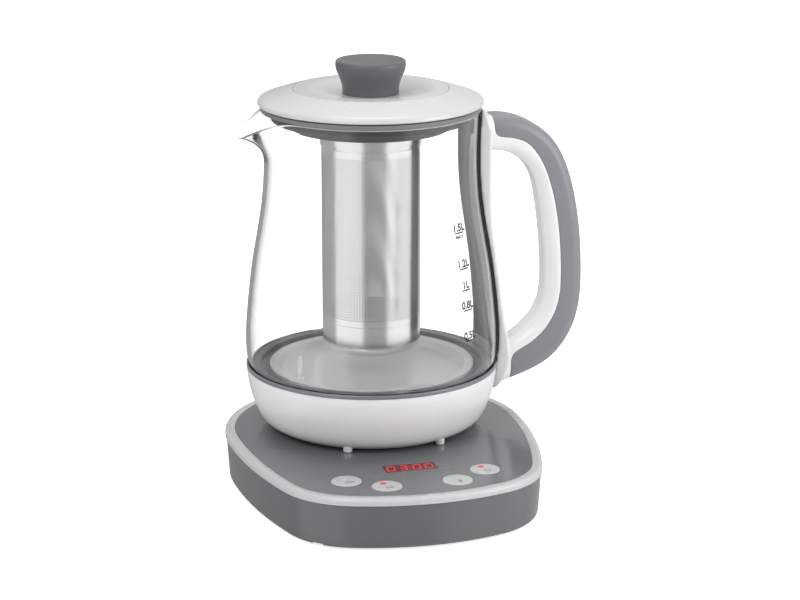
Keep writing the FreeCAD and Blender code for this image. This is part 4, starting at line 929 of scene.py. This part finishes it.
class TEA_OT_infuser(bpy.types.Operator):
    """Make the steel infuser: a punched tube, a solid bottom and a collar"""
    bl_idname = "tea.infuser"
    bl_label = "Infuser"

    def execute(self, context):
        sizes = context.scene.tea_lid
        low, high = bottom_of("infuser_tube"), PLUG_LOW - 0.4 * MM
        radius = radius_of("infuser_tube") + 1.8 * MM
        wall = 0.5 * MM
        first, last = low + 3.5 * MM, PLUG_LOW - 14.0 * MM
        rows, columns = sizes.hole_rows, sizes.hole_columns
        heights = [low] + [first + (last - first) * step / rows for step in range(rows + 1)] + [high]
        bm = bmesh.new()
        verts = [bm.verts.new((radius, 0, height)) for height in heights]
        edges = [bm.edges.new(pair) for pair in zip(verts, verts[1:])]
        bmesh.ops.spin(bm, geom=verts + edges, cent=(0, 0, 0), axis=(0, 0, 1), angle=math.tau,
                       steps=columns, use_merge=True, use_duplicate=False)
        bmesh.ops.recalc_face_normals(bm, faces=bm.faces)
        cells = [face for face in bm.faces if first < face.calc_center_median().z < last]
        bmesh.ops.inset_individual(bm, faces=cells, thickness=0.62 * MM, depth=0.0)
        bmesh.ops.delete(bm, geom=cells, context="FACES")
        bmesh.ops.solidify(bm, geom=bm.faces, thickness=wall)
        self.steel("infuser_sieve", bm, ["infuser_tube"], 35)
        bottom, top = bottom_of("infuser_base"), top_of("infuser_base")
        corner = 7 * MM
        turn = [math.radians(angle) for angle in range(0, 91, 10)]
        axis, inset = radius - corner, corner - wall
        outer = [(axis + corner * math.sin(a), bottom + corner - corner * math.cos(a)) for a in turn]
        inner = [(axis + inset * math.sin(a), bottom + corner - inset * math.cos(a))
                 for a in reversed(turn)]
        seam = [(radius, top - 0.35 * MM), (radius - 0.25 * MM, top - 0.1 * MM), (radius - wall, top)]
        dent, dent_r, foot_r = bottom + 0.8 * MM, 12 * MM, 13.5 * MM
        dimple = [(0.0, dent), (dent_r, dent), (foot_r, bottom)]
        inside = [(foot_r, bottom + wall), (dent_r, dent + wall), (0.0, dent + wall)]
        profile = dimple + outer + seam + [(radius - wall, top - 1 * MM)] + inner + inside
        self.steel("infuser_dish", lathe(profile, segments=128), ["infuser_base"])
        self.steel("infuser_collar_finish", copy_of("infuser_collar"), ["infuser_collar"], 35)
        band_low, band = bottom_of("infuser_collar") - 2 * MM, radius + 0.7 * MM
        profile = [(radius + 0.05 * MM, band_low), (band - 0.3 * MM, band_low), (band, band_low + 0.5 * MM),
                   (band, high - 0.3 * MM), (band - 0.3 * MM, high), (radius + 0.05 * MM, high)]
        self.steel("infuser_band", lathe(profile, segments=128))
        return {"FINISHED"}

    def steel(self, name, bm, replaces=(), smooth_angle=40):
        finish_piece(name, bm, "bright_steel", "infuser", replaces, smooth_angle)


# Studio

CAMERA_AZIMUTH = math.radians(14)
FLOOR_HALF = 6.0


class TEA_OT_stage(bpy.types.Operator):
    """Set up the floor, the lamps, the surroundings and the camera"""
    bl_idname = "tea.stage"
    bl_label = "Studio"

    def execute(self, context):
        scene = context.scene
        scene.view_settings.view_transform = "Standard"
        self.bands()
        self.floor(scene)
        self.surroundings(scene)
        self.lamps(scene)
        self.camera(scene)
        return {"FINISHED"}

    def floor(self, scene):
        bm = bmesh.new()
        bmesh.ops.create_grid(bm, x_segments=1, y_segments=1, size=FLOOR_HALF)
        mesh = bpy.data.meshes.new("floor")
        bm.to_mesh(mesh)
        bm.free()
        plane = bpy.data.objects.new("floor", mesh)
        scene.collection.objects.link(plane)
        material = bpy.data.materials.new("floor_white")
        material.use_nodes = True
        tree = material.node_tree
        tree.nodes.clear()
        matte = add(tree, "BsdfDiffuse", Color=(0.9, 0.9, 0.9, 1)).outputs[0]
        bright = add(tree, "Emission", Strength=0.75).outputs[0]
        white = add(tree, "AddShader")
        plug(tree, matte, white.inputs[0])
        plug(tree, bright, white.inputs[1])
        away = add_vector(tree, "SCALE", add(tree, "NewGeometry").outputs["Incoming"], -1.0)
        mirrored = add(tree, "Emission", Color=self.tone(tree, away)).outputs[0]
        self.pick(tree, matte, mirrored, white.outputs[0], add(tree, "OutputMaterial"))
        mesh.materials.append(material)

    def surroundings(self, scene):
        world = bpy.data.worlds.new("studio")
        scene.world = world
        world.use_nodes = True
        tree = world.node_tree
        tree.nodes.clear()
        white = add(tree, "Background", Color=(1, 1, 1, 1)).outputs[0]
        soft = add(tree, "Background", Color=(1, 1, 1, 1), Strength=0.55).outputs[0]
        direction = add(tree, "TexCoord").outputs["Generated"]
        mirrored = add(tree, "Background", Color=self.tone(tree, direction)).outputs[0]
        self.pick(tree, soft, mirrored, white, add(tree, "OutputWorld"))

    def tone(self, tree, direction):
        placed = tree.nodes.new("ShaderNodeGroup")
        placed.node_tree = HOLD["bands"]
        plug(tree, direction, placed.inputs["Direction"])
        return placed.outputs["Tone"]

    def mix(self, tree, share, first, second):
        made = add(tree, "MixShader", Fac=share)
        plug(tree, first, made.inputs[1])
        plug(tree, second, made.inputs[2])
        return made.outputs[0]

    def pick(self, tree, soft, mirrored, white, out):
        """Lit rays take the soft shader, mirrored rays the banded one, others plain white."""
        path = add(tree, "LightPath").outputs
        lit = add_math(tree, "GREATER_THAN", path["Diffuse Depth"], 0.5)
        shiny = add_math(tree, "GREATER_THAN", path["Glossy Depth"], 0.5)
        seen = self.mix(tree, shiny, white, mirrored)
        plug(tree, self.mix(tree, lit, seen, soft), out.inputs["Surface"])

    def bands(self):
        """What polished surfaces mirror: upright light and grey panels round the set, white above."""
        group, given, result = new_group("studio_bands", (("Direction", "Vector", None),),
                                         (("Tone", "Color"),))
        turn = add(group, "VectorRotate", Vector=given["Direction"], Angle=CAMERA_AZIMUTH)
        turn.rotation_type = "Z_AXIS"
        parts = add(group, "SeparateXYZ", Vector=turn.outputs["Vector"]).outputs
        angle = add_math(group, "ARCTAN2", parts["X"], add_math(group, "MULTIPLY", parts["Y"], -1.0))
        share = add_math(group, "MULTIPLY_ADD", angle, 1 / math.tau, 0.5)
        stops = ((-180, 0.29), (-96, 0.29), (-88, 0.84), (-24, 0.87), (-14, 0.29), (32, 0.32), (42, 0.88),
                 (98, 0.9), (108, 0.56), (180, 0.48))
        ramp = add_ramp(group, share, [(degrees / 360 + 0.5, (tone,) * 3) for degrees, tone in stops])
        high = add(group, "MapRange", **{"Value": parts["Z"], "From Min": 0.25, "From Max": 0.6})
        mix = group.nodes.new("ShaderNodeMix")
        mix.data_type = "RGBA"
        plug(group, high.outputs["Result"], mix.inputs[0])
        plug(group, add_vector(group, "SCALE", ramp, 1.28), mix.inputs[6])
        plug(group, (0.95, 0.95, 0.95, 1), mix.inputs[7])
        plug(group, mix.outputs[2], result["Tone"])
        HOLD["bands"] = group

    def lamps(self, scene):
        middle = Vector((0, -0.02, 0.12))
        for name, spot, size, power in (("key", (-0.9, -0.9, 1.3), 0.9, 9.5),
                                        ("fill", (1.2, -0.9, 0.55), 0.9, 9.5),
                                        ("top", (0.1, 0.4, 1.5), 0.8, 5.5)):
            lamp = bpy.data.lights.new(name, "AREA")
            lamp.shape = "SQUARE"
            lamp.size = size
            lamp.energy = power
            holder = bpy.data.objects.new(name, lamp)
            scene.collection.objects.link(holder)
            holder.location = spot
            holder.rotation_euler = (middle - Vector(spot)).to_track_quat("-Z", "Y").to_euler()

    def camera(self, scene):
        distance, height = 1.4778, 0.5149
        yaw, pitch = math.radians(0.678), math.radians(15.341)
        focal_px, frame_px, sensor = 2510.1, 800, 36.0
        lens = bpy.data.cameras.new("camera")
        lens.sensor_width = sensor
        lens.lens = focal_px * sensor / frame_px
        holder = bpy.data.objects.new("camera", lens)
        scene.collection.objects.link(holder)
        holder.location = (-distance * math.sin(CAMERA_AZIMUTH), -distance * math.cos(CAMERA_AZIMUTH),
                           height)
        holder.rotation_euler = (math.radians(90) - pitch, 0, -(CAMERA_AZIMUTH + yaw))
        scene.camera = holder


class TEA_PT_panel(bpy.types.Panel):
    """Lists the steps that dress the tea maker"""
    bl_idname = "TEA_PT_panel"
    bl_label = "Tea Maker"
    bl_space_type = "VIEW_3D"
    bl_region_type = "UI"
    bl_category = "Tea Maker"

    def draw(self, context):
        for step in STEPS:
            self.layout.operator(step.bl_idname)


GROUPS = {"tea_jug": TeaJugSizes, "tea_lid": TeaLidSizes, "tea_base": TeaBaseSizes,
          "tea_colours": TeaColours}
STEPS = (TEA_OT_base, TEA_OT_display, TEA_OT_buttons, TEA_OT_glass, TEA_OT_marks, TEA_OT_jug_floor,
         TEA_OT_housing, TEA_OT_handle, TEA_OT_lid, TEA_OT_infuser, TEA_OT_stage)


def register():
    for group in GROUPS.values():
        bpy.utils.register_class(group)
    for name, group in GROUPS.items():
        setattr(bpy.types.Scene, name, bpy.props.PointerProperty(type=group))
    for step in STEPS:
        bpy.utils.register_class(step)
    bpy.utils.register_class(TEA_PT_panel)


def unregister():
    bpy.utils.unregister_class(TEA_PT_panel)
    for step in reversed(STEPS):
        bpy.utils.unregister_class(step)
    for name, group in reversed(GROUPS.items()):
        delattr(bpy.types.Scene, name)
        bpy.utils.unregister_class(group)


def main():
    register()
    colours = bpy.context.scene.tea_colours
    make_materials(colours)
    dress_nodes()
    for step in STEPS:
        area, name = step.bl_idname.split(".")
        getattr(getattr(bpy.ops, area), name)()


if __name__ == "__main__":
    main()
